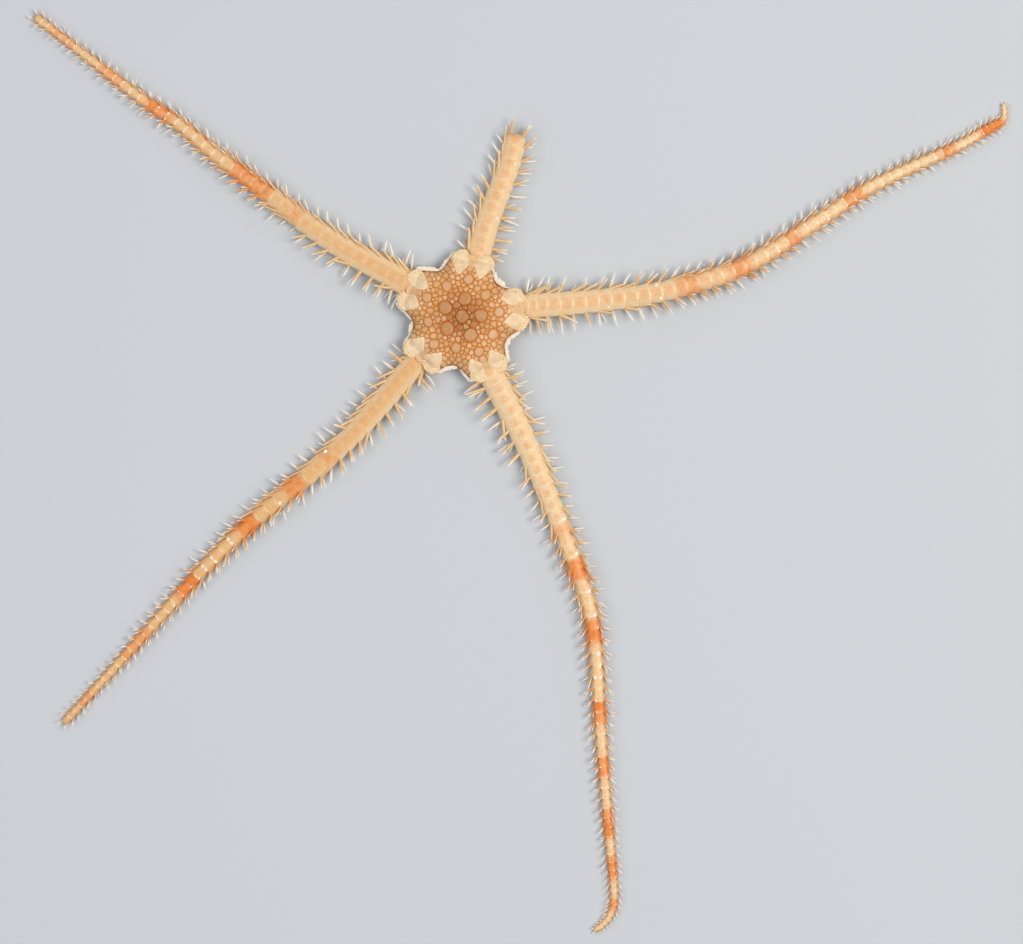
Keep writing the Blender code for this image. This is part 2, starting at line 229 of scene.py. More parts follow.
class JoinedMesh:
    """Collects copies of patterns, each with a mesh of its own, into one piece."""

    def __init__(self, name: str) -> None:
        """Starts an empty piece.

        Args:
            name: The piece's name.
        """
        self.name = name
        self.points: list[np.ndarray] = []
        self.corners: list[np.ndarray] = []
        self.counts: list[np.ndarray] = []
        self.marks: list[dict[str, np.ndarray]] = []
        self.places: list[np.ndarray] = []
        self.total = 0

    def add(
        self, pattern: Pattern, points: np.ndarray, places: np.ndarray, **marks: np.ndarray | float
    ) -> None:
        """Adds one copy of a pattern, or many.

        Args:
            pattern: What is copied.
            points: The points of each copy, copies by points by 3, or of the only one.
            places: The place of each point on the unwrap, as many.
            marks: Values for the finish, each one that spreads to copies by points.
        """
        size = len(pattern.points)
        copies = points.size // (3 * size)
        shifts = self.total + size * np.arange(copies)
        self.corners.append((pattern.corners[None, :] + shifts[:, None]).ravel())
        self.counts.append(np.tile(pattern.counts, copies))
        self.points.append(points.reshape(-1, 3))
        self.places.append(np.broadcast_to(places, (copies, size, 2)).reshape(-1, 2))
        spread = {name: np.broadcast_to(mark, (copies, size)).ravel() for name, mark in marks.items()}
        self.marks.append(spread)
        self.total += copies * size

    def make(self, merge: bool = False) -> bpy.types.Object:
        """Makes the piece.

        Args:
            merge: Whether patterns that share an edge are joined along it.

        Returns:
            Its object, with the marks as attributes and its bake map.
        """
        mesh = bpy.data.meshes.new(self.name)
        points = np.concatenate(self.points)
        corners = np.concatenate(self.corners)
        counts = np.concatenate(self.counts)
        mesh.vertices.add(len(points))
        mesh.vertices.foreach_set("co", points.ravel())
        mesh.loops.add(len(corners))
        mesh.loops.foreach_set("vertex_index", corners.astype(np.int32))
        mesh.polygons.add(len(counts))
        starts = np.concatenate(([0], np.cumsum(counts)[:-1]))
        mesh.polygons.foreach_set("loop_start", starts.astype(np.int32))
        mesh.update(calc_edges=True)
        names = self.marks[0]
        write_marks(mesh, {name: np.concatenate([marks[name] for marks in self.marks]) for name in names})
        unwrap = mesh.uv_layers.new(name=BAKE_MAP)
        places = np.concatenate(self.places)[corners]
        unwrap.data.foreach_set("uv", places.ravel().astype(np.float32))
        made = bpy.data.objects.new(self.name, mesh)
        bpy.context.scene.collection.objects.link(made)
        with editing(made):
            bpy.ops.mesh.select_all(action="SELECT")
            if merge:
                bpy.ops.mesh.remove_doubles(threshold=SAME_POINT)
            bpy.ops.mesh.normals_make_consistent(inside=False)
        return made


def dress(
    item: bpy.types.Object, finish: "Finish", smooth_angle: float = 40.0
) -> bpy.types.Object:
    """Gives a piece its finish and its body.

    Args:
        item: The finished piece.
        finish: What it is made of.
        smooth_angle: The least angle of an edge that stays sharp, in degrees.

    Returns:
        The same piece.
    """
    select_only(item)
    bpy.ops.object.shade_smooth_by_angle(angle=math.radians(smooth_angle))
    item.data.materials.clear()
    item.data.materials.append(finish.material())
    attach(item, ROOT)
    log.info("%s: %d faces", item.name, len(item.data.polygons))
    return item


# The arms


class Course:
    """A smooth line along an arm's middle, read by the distance along it."""

    STEPS = 24

    def __init__(self, points: Sequence[np.ndarray]) -> None:
        """Lays the line through the points.

        Args:
            points: Level points, in metres.
        """
        ends = [2 * points[0] - points[1], *points, 2 * points[-1] - points[-2]]
        places = [points[0]]
        for a, b, c, d in zip(ends, ends[1:], ends[2:], ends[3:]):
            for t in np.arange(1, self.STEPS + 1) / self.STEPS:
                even = 2 * b + (c - a) * t + (2 * a - 5 * b + 4 * c - d) * t * t
                places.append((even + (3 * b - a - 3 * c + d) * t**3) / 2)
        self.places = np.array(places)
        steps = np.linalg.norm(np.diff(self.places, axis=0), axis=1)
        self.distances = np.concatenate(([0.0], np.cumsum(steps)))
        self.length = float(self.distances[-1])
        index = np.arange(len(self.places))
        before = self.places[np.maximum(index - 2, 0)]
        after = self.places[np.minimum(index + 3, len(index) - 1)]
        self.headings = (after - before) / np.linalg.norm(after - before, axis=1)[:, None]

    def frames(self, distance: np.ndarray) -> tuple[np.ndarray, np.ndarray]:
        """Points on the line and the directions of travel there.

        Args:
            distance: Distances along the line, of any shape.

        Returns:
            The points and the headings, with 2 as their last size.
        """
        held = np.clip(distance, 0.0, self.length)
        place = np.stack([np.interp(held, self.distances, self.places[:, i]) for i in (0, 1)], -1)
        heading = np.stack([np.interp(held, self.distances, self.headings[:, i]) for i in (0, 1)], -1)
        heading /= np.linalg.norm(heading, axis=-1)[..., None]
        return place + heading * (distance - held)[..., None], heading

    def distance_from_centre(self, radius: float) -> float:
        """How far along the line it leaves a circle around the disc's centre."""
        outside = np.linalg.norm(self.places, axis=1) >= radius
        return float(self.distances[np.argmax(outside)])


class ArmEnd(Enum):
    """How an arm ends."""

    WHOLE = "tapers to a blunt point"
    STUMP = "broken off and healed"

    @property
    def closing(self) -> float:
        """The length over which its end closes, in widths of the end."""
        return 0.32 if self is ArmEnd.STUMP else 0.5

    @property
    def fold(self) -> float:
        """The length at its end over which the spines fold forward."""
        return 3 * MM if self is ArmEnd.STUMP else 1.3 * MM


class Side(Enum):
    """The two sides of an arm, seen from the disc."""

    LEFT = 1
    RIGHT = -1


@dataclass(frozen=True)
class Band:
    """An orange band, from the distances in millimetres along the arm between which it lies."""

    start: float
    end: float
    strength: float


@dataclass
class Arm:
    """One arm, with its sizes and its segments.

    Attributes:
        name: What its pieces are called after.
        ray: Its place among the arms, clockwise from the stump.
        points: Its middle line from the disc's centre, in millimetres.
        base_width: Its width at the disc.
        tip_width: Its width at its end, or where that was before it broke.
        taper: How the width falls, 1 for evenly.
        lengths: How many nodes it has.
        end: How it ends.
        lost: The length of its outer part that is missing.
        root_swell: How much wider its first third is than an even taper.
        end_narrowing: How much thinner its last few millimetres are, less than 0 for thicker.
        stubby: How much shorter its last spines are.
        warmth_and_falloff_shade: How tan its ground is near the disc and far out, from 0 for cream to 1,
            partly painted shade.
        arcs: How clear the pale far edges of its back plates are, near the disc and far out.
        lean_shifts: Degrees by which the spines on its left and right lean less forward.
        lying: The share of segments with a spine that lies forward, on its left and right.
        bands: Its orange bands.
        pearls: The distance along, the distance to the left and the radius of its white knobs, in mm.
        seed: The start of its random draws.
    """

    name: str
    ray: int
    points: tuple[tuple[float, float], ...]
    base_width: float
    tip_width: float
    taper: float
    lengths: int = 4
    end: ArmEnd = ArmEnd.WHOLE
    lost: float = 0.0
    root_swell: float = 0.0
    end_narrowing: float = 0.0
    stubby: float = 0.0
    warmth_and_falloff_shade: tuple[float, float] = (0.5, 0.5)
    arcs: tuple[float, float] = (0.25, 0.4)
    lean_shifts: tuple[float, float] = (0, 0)
    lying: tuple[float, float] = (0.5, 0.5)
    bands: tuple[Band, ...] = ()
    pearls: tuple[tuple[float, float, float], ...] = ()
    seed: int = 0

    ROOT_START = 3.2 * MM
    FREE_START = 11.9 * MM
    PLATES_START = 9.85 * MM
    HEIGHT_TO_WIDTH = 0.76
    LEAST_HEIGHT = 0.8 * MM
    FLOOR_ROOM = 0.14 * MM  # under the skin, for the plates of the underside
    ROOT_LIFT = 1.1 * MM  # of its first end, which goes up into the disc by the mouth
    ROOT_LENGTH = 1.9 * MM  # over which it does
    WAIST_UP = 0.42  # height of the widest place
    SKIN_DEPTH = 0.05 * MM  # of the plates over the skin
    SHOULDER = 1.03  # the skin's greatest width in a segment, as a share of the arm's
    SHOULDER_AT = 0.86  # where it is widest, as a share of the segment
    FLARE = 0.02  # how much it narrows between shoulders near the disc, as a share of the width
    FLARE_OUT = 0.29  # how much more it does at the tip
    NECK = 2.5 * MM  # the length over which it is thinner under the disc's edge
    SWOLLEN = (14 * MM, 36 * MM)  # the distances between which a swollen root thins out
    LAST = 5 * MM  # where its end starts to narrow, from the end
    BACK_POWER = 0.95  # of the upper outline, 1 for an ellipse
    SOLE_POWER = 1.3  # of the lower one
    SOLE_REACH = 1.25  # how soon that is flat
    BAND_EDGE = 0.8 * MM  # half of the length over which an orange band begins
    CROWDED = 5 * MM  # the length over which the first segments are shorter
    ROWS = 4  # of the unwrap of one arm
    OVERHANG = 3 * MM  # of the last segment in a row over the row's end
    # Segment lengths, by the distance left to the tip of a whole arm, in millimetres
    LEFT_TO_TIP = (0.0, 3.0, 8.0, 20.0, 45.0, 80.0)
    PITCHES = (0.6, 0.85, 1.15, 1.65, 2.05, 2.2)

    def __post_init__(self) -> None:
        """Lays the middle line and finds the joints between segments."""
        angle = ray_angle(self.ray)
        first = self.ROOT_START * np.array((math.cos(angle), math.sin(angle)))
        self.course = Course([first, *(np.array(point) * MM for point in self.points)])
        self.start = self.course.distance_from_centre(self.FREE_START)
        self.length = self.course.length
        first = self.course.distance_from_centre(self.PLATES_START)
        self.whole = self.length + self.lost
        ends = [first]
        while ends[-1] < self.length:
            left = (self.whole - ends[-1]) / MM
            crowded = 0.6 + 0.4 * smooth(np.array(ends[-1]), first, first + self.CROWDED)
            ends.append(ends[-1] + float(np.interp(left, self.LEFT_TO_TIP, self.PITCHES) * crowded) * MM)
        stretch = (self.length - first) / (ends[-1] - first)
        self.joints = first + (np.array(ends) - first) * stretch
        self.closing = float(self.width(np.array(self.length))) * self.end.closing

    @property
    def nodes(self) -> list[str]:
        """The names of its CAD nodes."""
        return [f"{self.name}_{number + 1}" for number in range(self.lengths)]

    def share(self, distance: np.ndarray) -> np.ndarray:
        """How far along the whole free arm a distance is, from 0 to 1."""
        return np.clip((distance - self.start) / (self.whole - self.start), 0.0, 1.0)

    def width(self, distance: np.ndarray) -> np.ndarray:
        """The arm's mean width.

        Args:
            distance: Where along the arm.

        Returns:
            The width there.
        """
        even = self.base_width + (self.tip_width - self.base_width) * self.share(distance) ** self.taper
        root = 1 + self.root_swell * (1 - smooth(distance, *self.SWOLLEN))
        end = 1 - self.end_narrowing * smooth(distance, self.length - self.LAST, self.length - MM)
        return even * root * end

    def height(self, distance: np.ndarray) -> np.ndarray:
        """The arm's height."""
        return np.maximum(self.width(distance) * self.HEIGHT_TO_WIDTH, self.LEAST_HEIGHT)

    def swell(self, distance: np.ndarray) -> np.ndarray:
        """The segments' flare, which is widest at each shoulder.

        Args:
            distance: Where along the arm.

        Returns:
            The width there, as a share of the mean width.
        """
        index = np.clip(np.searchsorted(self.joints, distance, side="right") - 1, 0, len(self.joints) - 2)
        near, far = self.joints[index], self.joints[index + 1]
        part = np.clip((distance - near) / (far - near), 0.0, 1.0)
        rise = np.minimum(part / self.SHOULDER_AT, (1 - part) / (1 - self.SHOULDER_AT))
        rise = np.clip(rise, 0.0, 1.0)
        flare = self.FLARE + self.FLARE_OUT * self.share(distance) ** 1.1
        neck = 1 - 0.1 * (1 - smooth(distance, self.start - self.NECK, self.start))
        return (self.SHOULDER - flare * (1 - rise)) * neck

    def warm(self, distance: np.ndarray) -> np.ndarray:
        """How tan the ground colour is at a place: partly the arm's own tan, partly painted shade on the
        arms further from the key light.
        """
        near, far = self.warmth_and_falloff_shade
        return near + (far - near) * smooth(self.share(distance), 0.2, 0.6)

    def arc(self, distance: np.ndarray) -> np.ndarray:
        """How clear the pale edges of the back plates are at a place."""
        near, far = self.arcs
        return near + (far - near) * smooth(self.share(distance), 0.15, 0.45)

    def far(self, distance: np.ndarray) -> np.ndarray:
        """How much a place has the look of the outer arm, with its warmer sides."""
        return smooth(self.share(distance), 0.1, 0.5)

    def band(self, distance: np.ndarray) -> np.ndarray:
        """How strongly orange the arm is at a place.

        Args:
            distance: Where along the arm.

        Returns:
            0 between the bands, and a band's strength inside it.
        """
        found = np.zeros(np.shape(distance))
        for band in self.bands:
            start, end = band.start * MM, band.end * MM
            inside = smooth(distance, start - self.BAND_EDGE, start + self.BAND_EDGE)
            inside = inside * (1 - smooth(distance, end - self.BAND_EDGE, end + self.BAND_EDGE))
            found = np.maximum(found, inside * band.strength)
        return found

    def section(self, distance: np.ndarray, turn: np.ndarray) -> tuple[np.ndarray, np.ndarray]:
        """The cross-section: how far sideways and up its outline is.

        Args:
            distance: Where along the arm.
            turn: The angle around it, from its left side over the top.

        Returns:
            The distances to the left of the middle line and above the floor.
        """
        width = self.width(distance) * self.swell(distance) / 2 - self.SKIN_DEPTH
        height = self.height(distance) - self.SKIN_DEPTH
        across = np.cos(turn) * width
        climb = np.sin(turn)
        above = self.WAIST_UP + (1 - self.WAIST_UP) * np.abs(climb) ** self.BACK_POWER
        flat = np.minimum(np.abs(climb) * self.SOLE_REACH, 1.0) ** self.SOLE_POWER
        below = self.WAIST_UP * (1 - flat)
        floor = self.FLOOR_ROOM + self.ROOT_LIFT * (1 - smooth(distance, 0.0, self.ROOT_LENGTH))
        up = floor + (height - floor) * np.where(climb > 0, above, below)
        # The end closes as half of a ball does
        past = np.clip((distance - self.length + self.closing) / self.closing, 0.0, 1.0)
        close = np.sqrt(1 - past**2)
        middle = floor + (height - floor) * self.WAIST_UP
        return across * close, middle + (up - middle) * close

    def surface(self, distance: np.ndarray, turn: np.ndarray, lift: np.ndarray | float = 0.0) -> np.ndarray:
        """Points on the arm's skin or above it.

        Args:
            distance: Where along the arm.
            turn: The angle around it, from its left side over the top.
            lift: The height above the skin.

        Returns:
            World points, with 3 as their last size.
        """
        step = 0.02  # of the turn, to read the slope
        across, up = self.section(distance, turn)
        across_before, up_before = self.section(distance, turn - step)
        across_after, up_after = self.section(distance, turn + step)
        run, rise = across_after - across_before, up_after - up_before
        size = np.maximum(np.hypot(run, rise), 1e-9)
        across = across + lift * rise / size
        up = up - lift * run / size
        place, heading = self.course.frames(distance)
        x = place[..., 0] - heading[..., 1] * across + DISC_PLACE[0]
        y = place[..., 1] + heading[..., 0] * across + DISC_PLACE[1]
        return np.stack((x, y, up), -1)

    def unwrap(self, distance: np.ndarray, turn: np.ndarray, near: np.ndarray) -> np.ndarray:
        """The place on the arm's own unwrap, which is laid out in rows.

        Args:
            distance: Where along the arm.
            turn: The angle around it.
            near: A distance that says which row a copy is in.

        Returns:
            Places in the unit square, with 2 as their last size.
        """
        reach = (self.length + 2 * MM) / self.ROWS
        row = np.clip(np.floor(near / reach), 0, self.ROWS - 1)
        along = 0.03 + 0.94 * (distance - row * reach) / (reach + self.OVERHANG)
        around = np.mod(turn + math.pi / 2, 2 * math.pi) / (2 * math.pi)
        around = (row + 0.04 + 0.92 * around) / self.ROWS
        return np.stack(np.broadcast_arrays(along, around), -1)


ARMS = (
    Arm(
        name="arm_a",
        ray=0,
        points=((3.1, 12.0), (4.3, 16.2), (6.1, 21.0), (8.2, 26.6), (9.2, 31.2)),
        base_width=4.25 * MM,
        tip_width=1.25 * MM,
        taper=1.05,
        lengths=1,
        end=ArmEnd.STUMP,
        lost=75 * MM,
        warmth_and_falloff_shade=(0.5, 0.4),
        arcs=(0.12, 0.12),
        lean_shifts=(-22, -2),
        lying=(0.9, 0.05),
        pearls=((14.6, -1.35, 0.2), (24.2, -1.0, 0.2)),
        seed=11,
    ),
    Arm(
        name="arm_b",
        ray=1,
        points=(
            (11.0, 1.8), (20.1, 2.5), (32.1, 4.0), (44.0, 7.1), (51.3, 10.5), (61.6, 17.1), (68.5, 21.6),
            (75.7, 25.2), (83.3, 28.6), (89.7, 32.15), (91.7, 33.3), (92.25, 34.5), (92.1, 36.4),
        ),
        base_width=4.3 * MM,
        tip_width=1.72 * MM,
        taper=0.95,
        end_narrowing=0.38,
        stubby=0.6,
        warmth_and_falloff_shade=(0.45, 0.05),
        arcs=(1.0, 0.7),
        lean_shifts=(-18, 2),
        lying=(0.65, 0.3),
        pearls=((21.7, -1.3, 0.2), (30.3, 1.2, 0.24), (30.6, -1.1, 0.24)),
        bands=(
            Band(34.0, 37.7, 0.48), Band(43.0, 47.0, 0.6), Band(54.0, 56.8, 0.62), Band(65.8, 69.7, 0.7),
            Band(84.3, 87.1, 0.7), Band(92.0, 96.2, 1.2),
        ),
        seed=12,
    ),
    Arm(
        name="arm_c",
        ray=2,
        points=(
            (5.6, -11.0), (9.9, -19.5), (14.8, -30.8), (19.2, -42.2), (21.7, -49.8), (22.8, -58.1),
            (23.5, -70.3), (24.8, -86.3), (25.8, -98.0), (25.2, -101.6), (23.6, -103.6), (22.4, -104.3),
        ),
        base_width=4.05 * MM,
        tip_width=1.35 * MM,
        taper=0.95,
        root_swell=0.1,
        end_narrowing=0.08,
        stubby=0.5,
        warmth_and_falloff_shade=(0.2, 0.35),
        arcs=(0.4, 0.8),
        lean_shifts=(-4, 0),
        lying=(0.7, 0.35),
        pearls=(
            (35.2, 0.9, 0.34), (41.4, 0.8, 0.3), (48.1, 0.7, 0.32), (52.2, 0.6, 0.32), (58.8, 0.5, 0.3),
            (60.9, 0.5, 0.26), (62.8, 0.5, 0.3), (62.8, -0.5, 0.26),
        ),
        bands=(
            Band(36.3, 37.9, 0.45), Band(42.3, 45.7, 0.95), Band(52.9, 57.2, 1.05), Band(66.8, 70.7, 1.0),
            Band(76.3, 79.9, 0.9), Band(85.4, 90.2, 1.0), Band(93.5, 97.4, 0.95), Band(100.5, 102.7, 0.8),
        ),
        seed=13,
    ),
    Arm(
        name="arm_d",
        ray=3,
        points=(
            (-8.2, -8.1), (-14.6, -15.5), (-19.8, -21.1), (-26.2, -26.9), (-35.6, -34.7), (-44.2, -43.0),
            (-52.4, -52.1), (-60.8, -61.4), (-67.8, -69.0),
        ),
        base_width=3.9 * MM,
        tip_width=0.97 * MM,
        taper=1.2,
        lost=10 * MM,
        root_swell=0.06,
        end_narrowing=-0.15,
        warmth_and_falloff_shade=(0.9, 0.8),
        arcs=(0.15, 1.1),
        lean_shifts=(-8, 4),
        lying=(0.3, 0.85),
        pearls=(
            (29.5, -1.1, 0.3), (41.1, 0.6, 0.28), (51.8, -0.6, 0.26), (51.8, 0.3, 0.24), (56.0, 0.6, 0.22),
            (56.0, -0.4, 0.2), (58.1, 0.5, 0.22), (58.1, -0.5, 0.22), (66.3, 0.6, 0.2),
        ),
        bands=(
            Band(28.6, 30.8, 0.35), Band(35.8, 39.2, 0.75), Band(46.1, 49.6, 1.0), Band(60.1, 64.7, 1.0),
            Band(72.4, 78.8, 0.55), Band(86.5, 89.9, 0.5),
        ),
        seed=14,
    ),
    Arm(
        name="arm_e",
        ray=4,
        points=(
            (-10.4, 6.2), (-18.8, 10.8), (-25.8, 15.3), (-31.8, 20.0), (-41.8, 27.5), (-48.2, 32.8),
            (-54.8, 37.3), (-64.5, 44.8), (-72.75, 51.15),
        ),
        base_width=4.05 * MM,
        tip_width=1.02 * MM,
        taper=1.0,
        lost=10 * MM,
        root_swell=0.07,
        end_narrowing=-0.2,
        warmth_and_falloff_shade=(0.8, 0.6),
        arcs=(0.25, 1.5),
        lean_shifts=(0, -22),
        lying=(0.25, 0.9),
        bands=(
            Band(29.3, 31.5, 0.35), Band(35.8, 43.5, 0.72), Band(56.9, 62.0, 0.86), Band(67.1, 72.0, 0.5),
            Band(77.7, 82.5, 0.45),
        ),
        seed=15,
    ),
)


# The disc


@dataclass
class Dome:
    """The disc's form: a dome over a flat underside, with a side between each two arms.

    Attributes:
        side_radii: To the middle of each side, in millimetres, clockwise from the stump.
        inset: How far the skin lies inside the disc's outline, all round.
        corner_radius: To the straight edge over an arm.
        top: The height of its middle.
        waist: The height of its widest place.
        clearance: The height of the underside over the floor.
        concavity: How hollow the sides between the arms are.
        sharpness: How square the corners beside an arm are.
        flatness: How flat the dome is, 1 for a ball.
    """

    side_radii: tuple[float, ...] = (9.2, 9.5, 9.5, 9.5, 9.9)
    inset: float = 1.24 * MM
    corner_radius: float = 11.3 * MM
    top: float = 5.42 * MM
    waist: float = 2.3 * MM
    clearance: float = 0.45 * MM
    concavity: float = 5.0
    sharpness: float = 16.0
    flatness: float = 0.7

    STEEPEST = 0.9  # the slope along whose normal plates are lifted at the most

    def outline(self, angle: np.ndarray, inset: float | None = None) -> np.ndarray:
        """The disc's radius in a direction.

        Args:
            angle: The direction.
            inset: How far inside its edge, if not as far as the skin.

        Returns:
            The radius, of the angle's shape.
        """
        turn = (FIRST_RAY - angle) / RAY_STEP
        from_ray = np.abs(turn - np.round(turn)) * RAY_STEP
        from_side = RAY_STEP / 2 - from_ray
        middle = np.array(self.side_radii)[np.floor(turn).astype(int) % RAYS] * MM
        side = middle / np.cos(from_side) ** self.concavity
        corner = self.corner_radius / np.cos(from_ray)
        ratio = (corner / side) ** self.sharpness
        radius = corner / (1 + ratio) ** (1 / self.sharpness)
        return radius - (self.inset if inset is None else inset)

    def height(self, x: np.ndarray, y: np.ndarray) -> np.ndarray:
        """The height of the upper face over a point.

        Args:
            x: To the right of the disc's centre.
            y: Upwards in the photograph from it.

        Returns:
            The height over the floor.
        """
        share = np.minimum(np.hypot(x, y) / self.outline(np.arctan2(y, x)), 1.0)
        lift = np.sqrt(np.maximum(1.0 - share ** (2 / self.flatness), 0.0))
        return self.waist + (self.top - self.waist) * lift

    def upper(
        self, x: np.ndarray, y: np.ndarray, lift: np.ndarray | float, hold: float = 1.0
    ) -> np.ndarray:
        """World points over the upper face, lifted along its normal.

        Args:
            x: To the right of the disc's centre.
            y: Upwards in the photograph from it.
            lift: The height over the face.
            hold: The share of the outline past which the face doesn't fall further.

        Returns:
            The points, with 3 as their last size.
        """
        share = np.hypot(x, y) / self.outline(np.arctan2(y, x))
        pull = np.minimum(1.0, hold / np.maximum(share, 1e-9))
        u, v = x * pull, y * pull
        step = 0.15 * MM  # to read the slopes
        slope_x = (self.height(u + step, v) - self.height(u - step, v)) / (2 * step)
        slope_y = (self.height(u, v + step) - self.height(u, v - step)) / (2 * step)
        slope_x, slope_y = (np.clip(slope, -self.STEEPEST, self.STEEPEST) for slope in (slope_x, slope_y))
        size = np.sqrt(1 + slope_x**2 + slope_y**2)
        places = (
            x - lift * slope_x / size + DISC_PLACE[0],
            y - lift * slope_y / size + DISC_PLACE[1],
            self.height(u, v) + lift / size,
        )
        return np.stack(np.broadcast_arrays(*places), -1)

    def lower(self, x: np.ndarray, y: np.ndarray, drop: np.ndarray | float) -> np.ndarray:
        """World points under the lower face.

        Args:
            x: To the right of the disc's centre.
            y: Upwards in the photograph from it.
            drop: How far under the face.

        Returns:
            The points, with 3 as their last size.
        """
        share = np.minimum(np.hypot(x, y) / self.outline(np.arctan2(y, x)), 1.0)
        sink = np.sqrt(np.maximum(1.0 - share ** (2 / self.flatness), 0.0))
        level = self.waist - (self.waist - self.clearance) * sink
        return np.stack((x + DISC_PLACE[0], y + DISC_PLACE[1], level - drop), -1)

    def unwrap(self, x: np.ndarray, y: np.ndarray) -> np.ndarray:
        """The place on the disc's own unwrap, rolled flat from its middle along its curve.

        Args:
            x: To the right of the disc's centre.
            y: Upwards in the photograph from it.

        Returns:
            Places in the unit square, with 2 as their last size.
        """
        steps = np.linspace(0.0, 1.0, 64)
        rise = (self.top - self.waist) * np.sqrt(1.0 - steps ** (2 / self.flatness))
        run = self.corner_radius * steps
        lengths = np.concatenate(([0.0], np.cumsum(np.hypot(np.diff(run), np.diff(rise)))))
        away, angle = np.hypot(x, y), np.arctan2(y, x)
        share = away / self.outline(angle)
        rolled = np.interp(share, steps, lengths) + np.maximum(share - 1, 0.0) * self.corner_radius
        reach = 34 * MM  # the side of the unwrap's square
        return np.stack((0.5 + rolled * np.cos(angle) / reach, 0.5 + rolled * np.sin(angle) / reach), -1)


DOME = Dome()


def soft_cell(
    directions: np.ndarray, walls: np.ndarray, facing: np.ndarray, limit: np.ndarray, sharpness: float
) -> np.ndarray:
    """The outline of a plate that fills the room between walls, with rounded corners.

    Args:
        directions: The angles in which the outline is read, copies by points.
        walls: The distance of each wall, copies by walls.
        facing: The direction of each wall, copies by walls.
        limit: The radius with no wall near, one for each copy.
        sharpness: How square the corners are.

    Returns:
        The outline's radius, copies by points.
    """
    lean = np.cos(directions[:, :, None] - facing[:, None, :])
    reach = walls[:, None, :] / np.maximum(lean, 1e-3)
    pull = (limit[:, None, None] / np.maximum(reach, 1e-6)) ** sharpness
    pull = np.where(lean > 1e-3, pull, 0.0)
    return limit[:, None] / (1 + pull.sum(-1)) ** (1 / sharpness)


def model_plate(sides: int, rings: Sequence[tuple[float, float]], closed: bool = True) -> Pattern:
    """A round plate with a bevelled edge and a low crown, as a pattern in units of its own radius.

    Args:
        sides: The points around it.
        rings: The inset and the rise of each step from its edge to its crown.
        closed: Whether it gets an underside.

    Returns:
        The plate, from height 0 to 1 at its crown.
    """
    deselect()
    bpy.ops.mesh.primitive_circle_add(vertices=sides, radius=1.0, fill_type="NGON")
    plate = bpy.context.object
    with editing(plate):
        bpy.ops.mesh.select_mode(type="FACE")
        bpy.ops.mesh.select_all(action="SELECT")
        for inset, rise in rings:
            if inset == 0:
                bpy.ops.mesh.extrude_region_move(TRANSFORM_OT_translate={"value": (0, 0, rise)})
            else:
                bpy.ops.mesh.inset(thickness=inset, depth=0.0)
                bpy.ops.transform.translate(value=(0, 0, rise))
        bpy.ops.mesh.poke()
    made = Pattern.taken_from(plate)
    if not closed:
        return made
    lowest = np.flatnonzero(np.isclose(made.points[:, 2], made.points[:, 2].min()))
    ring = lowest[np.argsort(-made.angle[lowest])]
    return Pattern(made.points, np.concatenate((made.corners, ring)), np.append(made.counts, sides))


